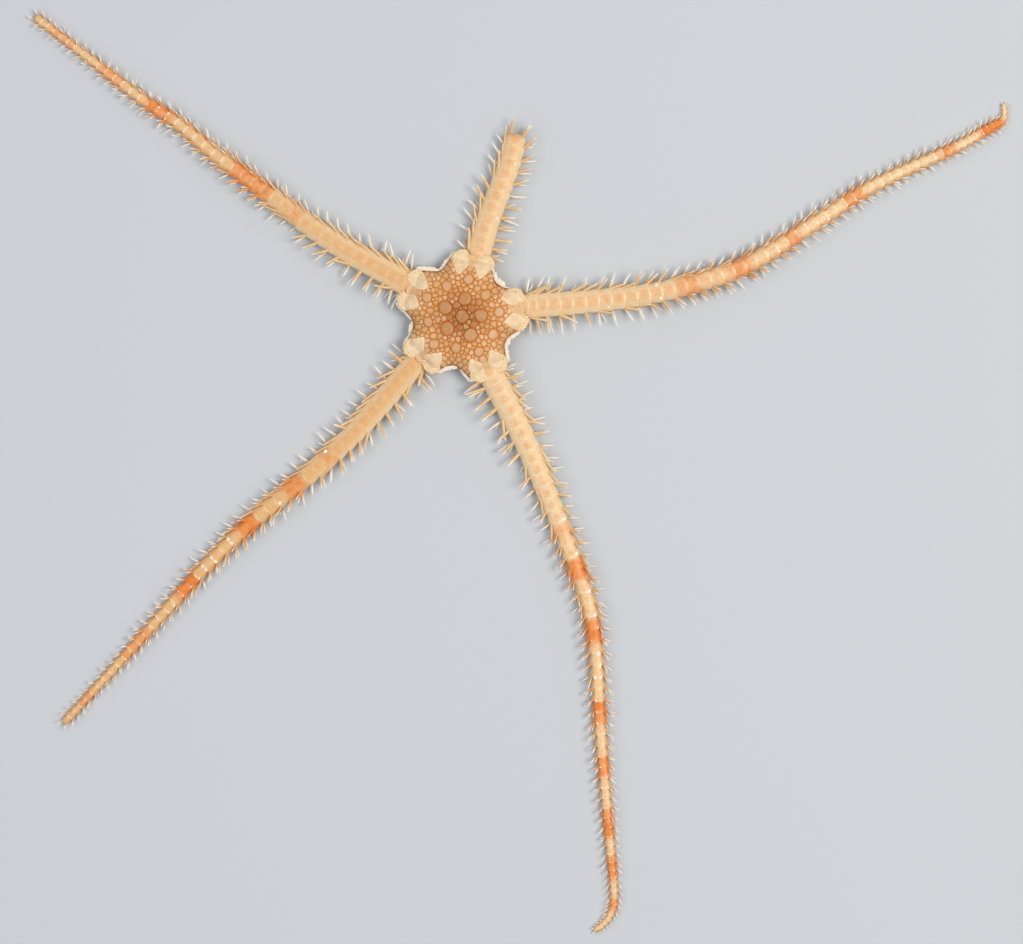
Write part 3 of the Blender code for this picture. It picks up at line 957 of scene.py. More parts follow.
@dataclass
class DiscScales:
    """The scales of the disc's upper face, round the rosette of large primary plates.

    Attributes:
        primary: Place and radius of the primary plates and of the larger ones round them, in millimetres.
        middling: The same for scales that stand out by their size.
        most: Radius of the largest scale between them.
        least: Radius of the smallest.
        gap: The groove between scales.
        edge_room: How far they keep from the disc's edge.
        closeness: How near two scales come, as a share of their radii.
        seed: The start of the random draws.
    """

    primary: tuple = (
        (0.0, 0.0, 1.12), (0.5, 3.0, 1.12), (-2.9, 1.5, 1.18), (-2.5, -2.1, 1.18), (1.4, -3.2, 1.18),
        (3.2, 0.15, 1.12), (1.05, 6.3, 0.90), (-6.0, 3.2, 0.90), (-4.8, -4.75, 0.87), (2.8, -6.0, 0.87),
        (6.25, 0.7, 0.90), (-2.65, 5.15, 0.87), (-5.8, -0.9, 0.84), (-1.05, -5.4, 0.87),
        (5.2, -3.05, 0.92), (4.0, 3.6, 0.85),
    )
    middling: tuple = (
        (-4.35, 5.45, 0.54), (-2.85, 6.95, 0.5), (-1.65, 6.7, 0.5), (-2.6, 8.15, 0.41), (-0.7, 5.6, 0.45),
        (3.7, 5.1, 0.45), (4.8, 5.2, 0.47), (5.55, 4.35, 0.5), (5.6, 3.3, 0.45), (2.5, 4.7, 0.55),
        (2.8, 2.35, 0.5), (5.0, 2.0, 0.53), (2.55, 3.4, 0.43), (-1.85, 3.5, 0.46), (-0.9, 1.85, 0.52),
        (-3.75, 4.1, 0.48), (-4.5, 2.35, 0.4), (-5.5, 2.05, 0.46), (-5.5, 1.0, 0.54), (-4.4, 0.4, 0.46),
        (-6.85, 2.3, 0.38), (-7.35, 4.05, 0.48), (-7.0, 3.05, 0.34), (-6.7, 0.6, 0.44),
        (-7.55, -0.35, 0.44), (-7.4, -1.7, 0.44), (-6.4, -2.2, 0.5), (-5.1, -2.3, 0.52), (-4.1, -0.6, 0.5),
        (-3.15, -0.35, 0.44), (-2.05, -0.15, 0.46), (-4.4, -1.6, 0.38), (-4.85, -3.3, 0.52),
        (-3.8, -3.35, 0.44), (-0.4, -1.95, 0.5), (-0.45, -2.9, 0.44), (-1.7, -3.9, 0.42),
        (-0.65, -3.85, 0.44), (-2.75, -4.6, 0.5), (-2.6, -5.7, 0.43), (-5.9, -4.1, 0.36),
        (-5.95, -5.8, 0.44), (-4.9, -5.8, 0.28), (1.95, -1.35, 0.52), (1.55, 1.35, 0.52),
        (3.5, -2.4, 0.47), (2.65, -1.9, 0.34), (4.2, -1.7, 0.4), (5.35, -1.3, 0.54), (5.3, -0.35, 0.43),
        (6.55, -0.5, 0.42), (6.6, -2.1, 0.52), (3.3, -3.5, 0.43), (3.7, -4.6, 0.53), (5.35, -4.75, 0.47),
        (6.4, -4.3, 0.43), (7.0, -3.25, 0.52), (7.5, -4.1, 0.37), (0.8, -5.75, 0.44), (2.05, -4.6, 0.46),
        (0.2, -6.8, 0.37), (-0.6, -7.3, 0.47), (-1.75, -7.2, 0.4), (-2.45, -6.55, 0.37),
        (3.5, -7.15, 0.55), (-4.05, 6.6, 0.42), (-5.1, 7.0, 0.37), (1.3, 8.0, 0.44), (0.0, 6.8, 0.37),
        (0.65, 4.6, 0.4), (1.55, 5.1, 0.37), (-1.1, 4.4, 0.4), (4.8, 0.4, 0.42), (4.3, 1.35, 0.34),
        (7.15, 1.45, 0.36), (7.9, 0.85, 0.38), (7.4, 0.15, 0.32),
    )
    most: float = 0.4
    least: float = 0.18
    gap: float = 0.15
    edge_room: float = 0.12
    closeness: float = 0.97
    seed: int = 5

    LARGE = 0.6  # the least radius of a scale with the finer form
    NEIGHBOURS = 14  # how many shape a scale
    ROOM = 1.32  # the radius of a scale that touches none, in its own radii
    SHARPNESS = 12.0  # of the corners

    def sites(self, shields: "RadialShields") -> np.ndarray:
        """The places and radii of all scales, the named ones first.

        Args:
            shields: The plates that the scales keep clear of.

        Returns:
            One row for each scale: x, y and radius, in millimetres.
        """
        draw = np.random.default_rng(self.seed)
        kept = np.array([*self.primary, *self.middling])
        outline = shields.outline_points()
        away = np.hypot(kept[:, 0], kept[:, 1])
        edge = DOME.outline(np.arctan2(kept[:, 1], kept[:, 0])) / MM
        pull = np.minimum(1.0, (edge - self.edge_room - kept[:, 2]) / np.maximum(away, 1e-6))
        kept[:, :2] *= pull[:, None]
        for radius in np.linspace(self.most, self.least, 24):
            spots = draw.uniform(-11.0, 11.0, (1500, 2))
            away = np.hypot(spots[:, 0], spots[:, 1])
            edge = DOME.outline(np.arctan2(spots[:, 1], spots[:, 0])) / MM
            room = np.sqrt(((spots[:, None, :] - outline[None, :, :]) ** 2).sum(-1)).min(1)
            free = (away < edge - self.edge_room - radius) & (room > radius + 0.05) & ~shields.covers(spots)
            for spot in spots[free]:
                if has_room(kept, spot, radius, self.closeness):
                    size = radius * draw.uniform(0.95, 1.1)
                    kept = np.vstack((kept, (spot[0], spot[1], size)))
        return kept

    def make(self, shields: "RadialShields") -> bpy.types.Object:
        """Models two scales and copies them to all sites.

        Args:
            shields: The plates that the scales keep clear of.

        Returns:
            The joined scales.
        """
        sites = self.sites(shields)
        to_other = sites[None, :, :2] - sites[:, None, :2]
        apart = np.hypot(to_other[..., 0], to_other[..., 1])
        facing = np.arctan2(to_other[..., 1], to_other[..., 0])
        np.fill_diagonal(apart, 1e3)
        # Each wall stands where two scales meet, nearer to the smaller one
        walls = (apart**2 + sites[:, None, 2] ** 2 - sites[None, :, 2] ** 2) / (2 * apart)
        walls = np.maximum(walls - self.gap / 2, 0.05)
        nearest = np.argsort(walls, axis=1)[:, : self.NEIGHBOURS]
        walls = np.take_along_axis(walls, nearest, 1)
        facing = np.take_along_axis(facing, nearest, 1)
        fine = model_plate(24, ((0, 0.55), (0.07, 0.25), (0.17, 0.12), (0.3, 0.06)))
        plain = model_plate(12, ((0, 0.6), (0.14, 0.28), (0.36, 0.1)))
        joined = JoinedMesh("disc_scales")
        draw = np.random.default_rng(self.seed + 1)
        tone = draw.uniform(-1, 1, len(sites))
        large = sites[:, 2] > self.LARGE
        for body, chosen in ((fine, large), (plain, ~large)):
            index = np.flatnonzero(chosen)
            angle, spread, rise = body.angle, body.spread, body.points[:, 2]
            directions = np.broadcast_to(angle, (len(index), len(angle)))
            radius = sites[index, 2]
            limit = radius * self.ROOM
            reach = soft_cell(directions, walls[index], facing[index], limit, self.SHARPNESS)
            # Soft bulges, so that no two scales are alike
            phase = draw.uniform(0, 2 * math.pi, (2, len(index), 1))
            reach *= 1 + 0.04 * np.cos(2 * directions + phase[0]) + 0.03 * np.cos(3 * directions + phase[1])
            x = (sites[index, 0][:, None] + reach * spread * np.cos(angle)) * MM
            y = (sites[index, 1][:, None] + reach * spread * np.sin(angle)) * MM
            thick = (0.1 + 0.13 * radius)[:, None] * MM
            lift = rise[None, :] * thick * draw.uniform(0.85, 1.15, (len(index), 1)) - 0.05 * MM
            joined.add(
                body,
                DOME.upper(x, y, lift),
                DOME.unwrap(x, y),
                rim=spread**3,
                tone=tone[index][:, None],
                size=np.clip((radius - 0.2) / 0.6, 0, 1)[:, None],
                away=np.hypot(sites[index, 0], sites[index, 1])[:, None],
            )
        return dress(joined.make(), ScaleFinish(), 50)


@dataclass
class RadialShields:
    """The ten radial shields, a pair of four- to six-cornered plates over the root of each arm.

    Attributes:
        outlines: The corners of each, from the disc's centre in millimetres, two for each arm.
        rise: How far a shield stands over the skin.
        grow: How far its bevelled edge reaches past the corners, in millimetres.
        hold: The share of the disc's outline past which a shield doesn't droop.
        sides: The points round each.
    """

    outlines: tuple = (
        (
            (-1.36, 9.04), (-0.99, 10.17), (0.24, 10.86), (1.02, 9.89), (1.09, 8.94), (-0.41, 7.24),
            (-0.83, 7.34),
        ),
        ((2.14, 8.74), (2.89, 9.59), (4.06, 9.74), (4.59, 9.04), (4.74, 7.77), (3.84, 7.04), (2.99, 6.19)),
        ((6.66, 2.99), (7.34, 4.27), (8.84, 4.22), (10.01, 3.09), (8.52, 1.94), (7.67, 2.21)),
        ((7.14, -0.94), (8.67, 0.61), (9.89, 0.24), (10.64, -0.51), (9.59, -1.89), (8.74, -2.04)),
        ((4.74, -5.71), (6.82, -6.46), (6.77, -8.38), (5.76, -8.69), (4.42, -7.96), (4.54, -6.89)),
        ((1.45, -7.16), (3.64, -8.26), (3.69, -10.08), (3.08, -10.54), (2.14, -10.03), (1.09, -8.91)),
        ((-3.5, -6.14), (-3.62, -7.96), (-4.35, -8.69), (-5.32, -8.69), (-6.22, -8.16), (-6.17, -6.56)),
        ((-6.48, -3.54), (-6.55, -6.14), (-8.4, -6.46), (-9.15, -5.83), (-8.93, -4.01)),
        (
            (-7.41, 1.72), (-8.91, 1.19), (-9.76, 1.39), (-10.29, 3.09), (-9.86, 3.74), (-8.48, 3.74),
            (-7.96, 3.52),
        ),
        (
            (-5.78, 4.91), (-6.56, 4.59), (-8.06, 4.69), (-8.69, 5.97), (-8.38, 7.04), (-7.41, 7.24),
            (-6.36, 6.82),
        ),
    )
    rise: float = 0.14 * MM
    grow: float = 0.14
    hold: float = 0.965
    sides: int = 64

    WIDEST = 2.4  # a radius that none of them reaches, in millimetres
    SHARPNESS = 11.0  # of their corners

    @staticmethod
    def side_of(outline: tuple, index: int) -> tuple[np.ndarray, float, float]:
        """A shield's middle, the direction of its arm and the side of the arm that it is on.

        Args:
            outline: Its corners.
            index: Its number.

        Returns:
            The middle in millimetres, the angle, and +1 for the left side or -1.
        """
        middle = np.array(outline).mean(0)
        angle = ray_angle(index // 2)
        aside = middle[1] * math.cos(angle) - middle[0] * math.sin(angle)
        return middle, angle, math.copysign(1.0, aside)

    def reach(self, directions: np.ndarray, outline: tuple, grow: float = 0.0) -> np.ndarray:
        """The outline's radius around a shield's middle.

        Args:
            directions: The angles in which it is read.
            outline: The shield's corners.
            grow: How far outside the outline, in millimetres.

        Returns:
            The radius in each direction, in millimetres.
        """
        points = np.array(outline) - np.array(outline).mean(0)
        turned = np.roll(points, -1, 0) - points
        normal = np.stack((turned[:, 1], -turned[:, 0]), -1)
        normal /= np.linalg.norm(normal, axis=1)[:, None]
        distance = (points * normal).sum(1)
        normal *= np.sign(distance)[:, None]
        facing = np.arctan2(normal[:, 1], normal[:, 0])
        limit = np.array((self.WIDEST,))
        walls = np.abs(distance)[None, :] + grow
        return soft_cell(directions[None, :], walls, facing[None, :], limit, self.SHARPNESS)[0]

    def outline_points(self) -> np.ndarray:
        """Finds points all round every shield.

        Returns:
            The points in millimetres, one row each.
        """
        directions = np.linspace(0, 2 * math.pi, 48, endpoint=False)
        ahead = np.stack((np.cos(directions), np.sin(directions)), -1)
        found = [
            np.array(outline).mean(0) + ahead * self.reach(directions, outline)[:, None]
            for outline in self.outlines
        ]
        return np.concatenate(found)

    def covers(self, spots: np.ndarray) -> np.ndarray:
        """Whether points lie under a shield or between the two of a pair.

        Args:
            spots: Points in millimetres, one row each.

        Returns:
            True for each point that is covered.
        """
        found = np.zeros(len(spots), bool)
        for outline in self.outlines:
            away = spots - np.array(outline).mean(0)
            reach = self.reach(np.arctan2(away[:, 1], away[:, 0]), outline, 0.1)
            found |= np.hypot(away[:, 0], away[:, 1]) < reach
        for index in range(RAYS):
            angle = ray_angle(index)
            along = spots[:, 0] * math.cos(angle) + spots[:, 1] * math.sin(angle)
            aside = spots[:, 1] * math.cos(angle) - spots[:, 0] * math.sin(angle)
            found |= (along > 8.0) & (np.abs(aside) < 0.3 + 0.65 * (along - 8.0))
        return found

    def make(self) -> bpy.types.Object:
        """Models one plate and shapes a copy for each shield.

        Returns:
            The joined shields.
        """
        rings = ((0, 0.4), (0.05, 0.25), (0.06, 0.15), (0.1, 0.1), (0.15, 0.06), (0.2, 0.03), (0.2, 0.01))
        face = model_plate(self.sides, rings, closed=False)
        underside = model_plate(self.sides, ((0.3, 0.0), (0.35, 0.0)), closed=False)
        joined = JoinedMesh("radial_shields")
        for outline in self.outlines:
            middle = np.array(outline).mean(0)
            for plate in (face, underside):
                reach = self.reach(plate.angle, outline, self.grow) * plate.spread
                x = (middle[0] + reach * np.cos(plate.angle)) * MM
                y = (middle[1] + reach * np.sin(plate.angle)) * MM
                lift = plate.points[:, 2] * self.rise - 0.05 * MM
                points = DOME.upper(x, y, lift, self.hold)
                joined.add(plate, points, DOME.unwrap(x, y), rim=plate.spread**6)
        return dress(joined.make(merge=True), ShieldFinish(), 50)


@dataclass(frozen=True)
class Knob:
    """One swollen plate of the ridge round a shield.

    Attributes:
        foot: Its middle, in millimetres.
        out: The direction away from the shield.
        over: The direction along the shield's edge.
        size: Its mean half length, in millimetres.
        level: The height of its middle.
        high: How far it rises over that.
    """

    foot: np.ndarray
    out: np.ndarray
    over: np.ndarray
    size: float
    level: float
    high: float

    OUTWARDS = 0.85  # its half length in that direction, in sizes
    ALONG = 1.15  # the same along the edge

    def left_over(self, spot: np.ndarray) -> float:
        """How far inside its edge a spot is.

        Args:
            spot: The spot, in millimetres.

        Returns:
            1 at its middle, 0 at the edge and less beside it.
        """
        away = spot - self.foot
        outwards = away @ self.out / (self.OUTWARDS * self.size)
        return 1 - outwards**2 - (away @ self.over / (self.ALONG * self.size)) ** 2


@dataclass
class RootPlates:
    """The small plates over each arm's root: those between the shields, and the ridge round each shield.

    Attributes:
        between: Place along the arm's direction, half length and half width of the middle plates.
        sweep: Where round a shield its ridge starts and ends, in degrees from the arm's direction.
        knobs: How many swollen plates make up a ridge.
        sizes: Their half lengths at the ridge's start, where it is widest and at its end, in millimetres.
        granules: How many are tried for on a ridge.
        granule: The radii of the smallest and the largest, in millimetres.
        seed: The start of the random draws.
    """

    between: tuple = (
        (8.2, 0.34, 0.3), (8.7, 0.36, 0.5), (9.2, 0.38, 0.75), (9.7, 0.4, 0.95), (10.2, 0.42, 1.1)
    )
    sweep: tuple[float, float] = (96, -78)
    knobs: int = 18
    sizes: tuple[float, float, float] = (0.2, 0.56, 0.18)
    granules: int = 260
    granule: tuple[float, float] = (0.1, 0.19)
    seed: int = 9

    HOLD = 0.972  # the share of the disc's outline past which a ridge doesn't droop
    SUNK = 0.28 * MM  # of a swollen plate's middle under the disc's face
    CLOSENESS = 0.85  # how near two granules come, as a share of their radii

    def make(self, shields: RadialShields) -> bpy.types.Object:
        """Models both kinds of plate and copies them to every arm's root.

        Args:
            shields: The plates that the ridges follow.

        Returns:
            The joined plates.
        """
        joined = JoinedMesh("arm_root_plates")
        draw = np.random.default_rng(self.seed)
        plate = model_plate(20, ((0, 0.6), (0.1, 0.25), (0.3, 0.15)))
        for index in range(RAYS):
            angle = ray_angle(index)
            ahead = np.array((math.cos(angle), math.sin(angle)))
            aside = np.array((-ahead[1], ahead[0]))
            for along, half_length, half_width in self.between:
                # Its ends bend back, like a roof tile's
                a = along + plate.points[:, 0] * half_length - 0.25 * plate.points[:, 1] ** 2 * half_width
                b = plate.points[:, 1] * half_width
                spot = (ahead * a[:, None] + aside * b[:, None]) * MM
                lift = plate.points[:, 2] * 0.12 * MM - 0.03 * MM
                points = DOME.upper(spot[:, 0], spot[:, 1], lift, shields.hold)
                places = DOME.unwrap(spot[:, 0], spot[:, 1])
                tone = draw.uniform(-1, -0.5)
                joined.add(plate, points, places, rim=plate.spread**4, tone=tone, middle=0.85)
        ball, grain = self.model_ball(14, 9), self.model_ball(8, 5)
        for index, outline in enumerate(shields.outlines):
            knobs = self.ridge(shields, outline, index, draw)
            for knob in knobs:
                reach = ball.points[:, 0] * knob.size * knob.OUTWARDS
                wide = ball.points[:, 1] * knob.size * knob.ALONG
                spot = (knob.foot + knob.out * reach[:, None] + knob.over * wide[:, None]) * MM
                height = knob.level + ball.points[:, 2] * knob.high
                height = np.where(ball.points[:, 2] < 0, height + ball.points[:, 2] * 0.5 * MM, height)
                points = np.column_stack((spot + DISC_PLACE, height))
                joined.add(ball, points, DOME.unwrap(spot[:, 0], spot[:, 1]), rim=0.0, tone=1.0, middle=0.0)
            self.cover(joined, grain, knobs, draw)
        return dress(joined.make(), RootPlateFinish(), 60)

    @staticmethod
    def model_ball(segments: int, rings: int) -> Pattern:
        """A ball of radius 1, as a pattern.

        Args:
            segments: Faces around it.
            rings: Faces from pole to pole.

        Returns:
            The ball.
        """
        deselect()
        bpy.ops.mesh.primitive_uv_sphere_add(segments=segments, ring_count=rings, radius=1.0)
        return Pattern.taken_from(bpy.context.object)

    def ridge(
        self, shields: RadialShields, outline: tuple, index: int, draw: np.random.Generator
    ) -> list[Knob]:
        """Lays out the swollen plates round the outer end of one shield.

        Args:
            shields: All shields.
            outline: The corners of this one.
            index: Its number.
            draw: The random draws.

        Returns:
            The swollen plates, from the side of the arm outwards.
        """
        middle, angle, side = shields.side_of(outline, index)
        first, widest, last = self.sizes
        found = []
        for part in np.linspace(0.0, 1.0, self.knobs):
            start, end = self.sweep
            turn = angle + side * math.radians(start + (end - start) * part)
            size = np.interp(part, (0.0, 0.22, 0.5, 1.0), (first, widest, widest, last))
            size = float(size) * draw.uniform(0.8, 1.0)
            out = np.array((math.cos(turn), math.sin(turn)))
            past = size * (0.8 + draw.uniform(0.0, 0.15))
            foot = middle + out * (shields.reach(np.array((turn,)), outline)[0] + past)
            level = DOME.upper(foot[0] * MM, foot[1] * MM, 0.0, self.HOLD)[2] - self.SUNK
            over = np.array((-out[1], out[0]))
            found.append(Knob(foot, out, over, size, level, (0.44 - 0.14 * part) * MM))
        return found

    def cover(
        self, joined: JoinedMesh, grain: Pattern, knobs: list[Knob], draw: np.random.Generator
    ) -> None:
        """Covers a ridge with granules, as in life, each resting on the swelling under it.

        Args:
            joined: The piece that they go into.
            grain: The modelled granule.
            knobs: The swollen plates of the ridge.
            draw: The random draws.
        """
        kept = np.zeros((0, 3))
        for size in np.linspace(self.granule[1], self.granule[0], self.granules):
            knob = knobs[draw.integers(len(knobs))]
            outwards, along = draw.uniform(-0.8, 0.8), draw.uniform(-0.8, 0.8)
            spot = knob.foot + knob.out * outwards * knob.size + knob.over * along * knob.size
            if not has_room(kept, spot, size, self.CLOSENESS):
                continue
            left = [(knob, knob.left_over(spot)) for knob in knobs]
            heights = [knob.level + math.sqrt(part) * knob.high for knob, part in left if part > 0]
            if not heights:
                continue
            kept = np.vstack((kept, (spot[0], spot[1], size)))
            points = grain.points * (size, size, size * 0.8) * MM
            place = points[:, :2] + spot * MM
            height = points[:, 2] + max(heights) - 0.01 * MM
            joined.add(
                grain,
                np.column_stack((place + DISC_PLACE, height)),
                DOME.unwrap(place[:, 0], place[:, 1]),
                rim=np.clip(-0.3 - grain.points[:, 2], 0, 1),
                tone=draw.uniform(-1.0, 0.2),
                middle=0.0,
            )


@dataclass
class Margin:
    """The thin white fold of skin that edges the disc between the arms.

    Attributes:
        outer: How far inside the disc's outline its outer edge lies at the widest.
        inner: How far inside it the inner edge lies, under the scales.
        half_height: Half of its height.
        level: The height of its middle.
        waves: The number of waves round the disc of each size, and how strong they are.
        seed: The start of the random draws.
    """

    outer: float = 0.1 * MM
    inner: float = 1.36 * MM
    half_height: float = 0.36 * MM
    level: float = 2.1 * MM
    waves: tuple = ((9, 0.34), (17, 0.32), (31, 0.2), (53, 0.13), (97, 0.08))
    seed: int = 3

    def make(self) -> bpy.types.Object:
        """Models a ring and lays it along the disc's outline, wavy as it is in life.

        Returns:
            The margin.
        """
        deselect()
        bpy.ops.mesh.primitive_torus_add(
            major_segments=480, minor_segments=12, major_radius=2.0, minor_radius=1.0
        )
        ring = Pattern.taken_from(bpy.context.object)
        angle, out = ring.angle, ring.spread - 2.0
        draw = np.random.default_rng(self.seed)
        wave = np.zeros(len(angle))
        for waves, share in self.waves:
            wave += share * np.sin(waves * angle + draw.uniform(0, 2 * math.pi))
        turn = (FIRST_RAY - angle) / RAY_STEP
        from_side = 1 - 2 * np.abs(turn - np.floor(turn) - 0.5)
        # It dies out beside each arm
        free = smooth(from_side, 0.3, 0.46)
        wide = np.clip(0.74 + 0.62 * wave, 0.15, 1.1) * free
        # The inner edge stays under the scales, and the outer one goes in and out with the waves
        edge = self.inner - (self.inner - self.outer) * (0.15 + 0.85 * wide)
        half = (self.inner - edge) / 2
        radius = DOME.outline(angle, self.inner) + half + out * half
        flat = np.sign(ring.points[:, 2]) * np.abs(ring.points[:, 2]) ** 0.6
        level = self.level + flat * self.half_height * (0.85 + 0.25 * wave)
        level = level + 0.1 * MM * wave
        x, y = radius * np.cos(angle), radius * np.sin(angle)
        points = np.stack((x + DISC_PLACE[0], y + DISC_PLACE[1], level), -1)
        joined = JoinedMesh("disc_margin")
        joined.add(ring, points, DOME.unwrap(x, y), rim=np.clip(-out, 0, 1), wide=wide)
        return dress(joined.make(), MarginFinish(), 180)


# The skin


@dataclass
class Skin:
    """The one skin of the disc and the arms.

    Attributes:
        around: The points round an arm.
        mouth_radii: Where the dent of the mouth ends below and above.
        mouth_height: The height of its ground.
    """

    around: int = 24
    mouth_radii: tuple[float, float] = (2.3 * MM, 2.9 * MM)
    mouth_height: float = 1.45 * MM

    RINGS = (0.3, 0.6, 0.84, 0.9, 0.96)  # where a segment has rings of points, closest at its shoulder
    DISC_EDGE = (10.3 * MM, 11.6 * MM)  # the radii between which the disc's ground turns to the arms'
    DISC_SIDE = (1.3 * MM, 2.1 * MM)  # the heights between which the underside's turns to the disc's

    def arm_tube(self, arm: Arm) -> bpy.types.Object:
        """One arm's skin, a closed tube that flares with each segment.

        Args:
            arm: The arm.

        Returns:
            The tube.
        """
        deselect()
        bpy.ops.mesh.primitive_cylinder_add(
            vertices=self.around, radius=1.0, depth=1.0, end_fill_type="NOTHING", location=(0, 0, 0.5)
        )
        ring = bpy.context.object
        with editing(ring):
            for height in self.RINGS:
                bpy.ops.mesh.select_all(action="SELECT")
                bpy.ops.mesh.bisect(plane_co=(0, 0, height), plane_no=(0, 0, 1))
        length = Pattern.taken_from(ring)
        turn, part = length.angle, length.points[:, 2]
        # Plain lengths lead from the mouth to the first joint, and the end has short ones to close in
        root_ends = np.linspace(0.0, arm.joints[0], 4)
        ends = np.concatenate((root_ends[:-1], arm.joints))
        extra = np.linspace(ends[-2], arm.length, 5)
        ends = np.concatenate((ends[:-2], extra))
        distance = ends[:-1, None] + np.diff(ends)[:, None] * part[None, :]
        points = arm.surface(distance, np.broadcast_to(turn, distance.shape))
        joined = JoinedMesh(f"{arm.name}_tube")
        joined.add(length, points, np.zeros(2))
        tube = joined.make()
        with editing(tube):
            bpy.ops.mesh.select_all(action="SELECT")
            bpy.ops.mesh.remove_doubles(threshold=SAME_POINT)
            bpy.ops.mesh.select_all(action="DESELECT")
            bpy.ops.mesh.select_mode(type="EDGE")
            bpy.ops.mesh.select_non_manifold()
            bpy.ops.mesh.edge_face_add()
            bpy.ops.mesh.select_all(action="SELECT")
            bpy.ops.mesh.normals_make_consistent(inside=False)
        return tube

    def disc_body(self) -> bpy.types.Object:
        """The disc's skin, domed above and flat below, with a dent for the mouth.

        Returns:
            The closed body.
        """
        deselect()
        bpy.ops.mesh.primitive_uv_sphere_add(segments=120, ring_count=44, radius=1.0)
        body = bpy.context.object
        ball = body.data
        points = read_points(ball)
        # The ball spreads out to the disc's outline, with one height over its waist and another under it
        angle = np.arctan2(points[:, 1], points[:, 0])
        spread = DOME.outline(angle) * np.hypot(points[:, 0], points[:, 1]) ** DOME.flatness
        up = points[:, 2]
        over = DOME.waist + (DOME.top - DOME.waist) * up
        under = DOME.waist + (DOME.waist - DOME.clearance) * up
        mouth = 1 - smooth(spread, *self.mouth_radii)
        under = under + (self.mouth_height - under) * mouth
        height = np.where(up >= 0, over, under)
        placed = np.column_stack(
            (spread * np.cos(angle) + DISC_PLACE[0], spread * np.sin(angle) + DISC_PLACE[1], height)
        )
        ball.vertices.foreach_set("co", placed.ravel())
        ball.update()
        return body

    def make(self) -> bpy.types.Object:
        """Joins the disc and the arms into one surface and marks it for its finish.

        Returns:
            The skin, which stands for the disc and all lengths of the arms.
        """
        body = self.disc_body()
        body.name = "skin"
        tubes = bpy.data.collections.new("arm_tubes")
        bpy.context.scene.collection.children.link(tubes)
        for arm in ARMS:
            tube = self.arm_tube(arm)
            bpy.context.scene.collection.objects.unlink(tube)
            tubes.objects.link(tube)
        select_only(body)
        union = body.modifiers.new("union", "BOOLEAN")
        union.operation = "UNION"
        union.operand_type = "COLLECTION"
        union.collection = tubes
        union.solver = "MANIFOLD"
        bpy.ops.object.modifier_apply(modifier=union.name)
        for tube in list(tubes.objects):
            bpy.data.objects.remove(tube)
        bpy.data.collections.remove(tubes)
        # The maps of the ball and the tubes don't fit the joined skin, so they are taken off
        while body.data.uv_layers:
            body.data.uv_layers.remove(body.data.uv_layers[0])
        self.mark(body)
        dress(body, SkinFinish(), 60)
        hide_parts("disc", *(node for arm in ARMS for node in arm.nodes))
        return body

    def mark(self, body: bpy.types.Object) -> None:
        """Writes what the finish reads: the arm's markings, and how much a point is disc.

        Args:
            body: The joined skin.
        """
        points = read_points(body.data)
        level = points[:, :2] - DISC_PLACE
        # Each point takes the markings of the arm whose middle line is nearest
        nearest = np.full(len(points), 1e9)
        band, across, warm, far = (np.zeros(len(points)) for _ in range(4))
        for arm in ARMS:
            places = arm.course.places
            apart = np.hypot(level[:, None, 0] - places[None, :, 0], level[:, None, 1] - places[None, :, 1])
            index = apart.argmin(1)
            best = apart[np.arange(len(points)), index]
            step = ((level - places[index]) * arm.course.headings[index]).sum(1)
            along = arm.course.distances[index] + step
            closer = best < nearest
            nearest = np.where(closer, best, nearest)
            band = np.where(closer, arm.band(along), band)
            warm = np.where(closer, arm.warm(along), warm)
            far = np.where(closer, arm.far(along), far)
            across = np.where(closer, best / (arm.width(along) / 2), across)
        away = np.hypot(level[:, 0], level[:, 1])
        disc = 1 - smooth(away, *self.DISC_EDGE)
        disc = disc * (0.25 + 0.75 * smooth(points[:, 2], *self.DISC_SIDE))
        marks = {
            "band": band,
            "warm": warm,
            "far": far,
            "across": np.clip(across, 0, 1),
            "along": np.full(len(points), SEGMENT_MIDDLE),
            "away": away / MM,
            "disc": disc,
        }
        write_marks(body.data, marks)


# The arms' plates and spines


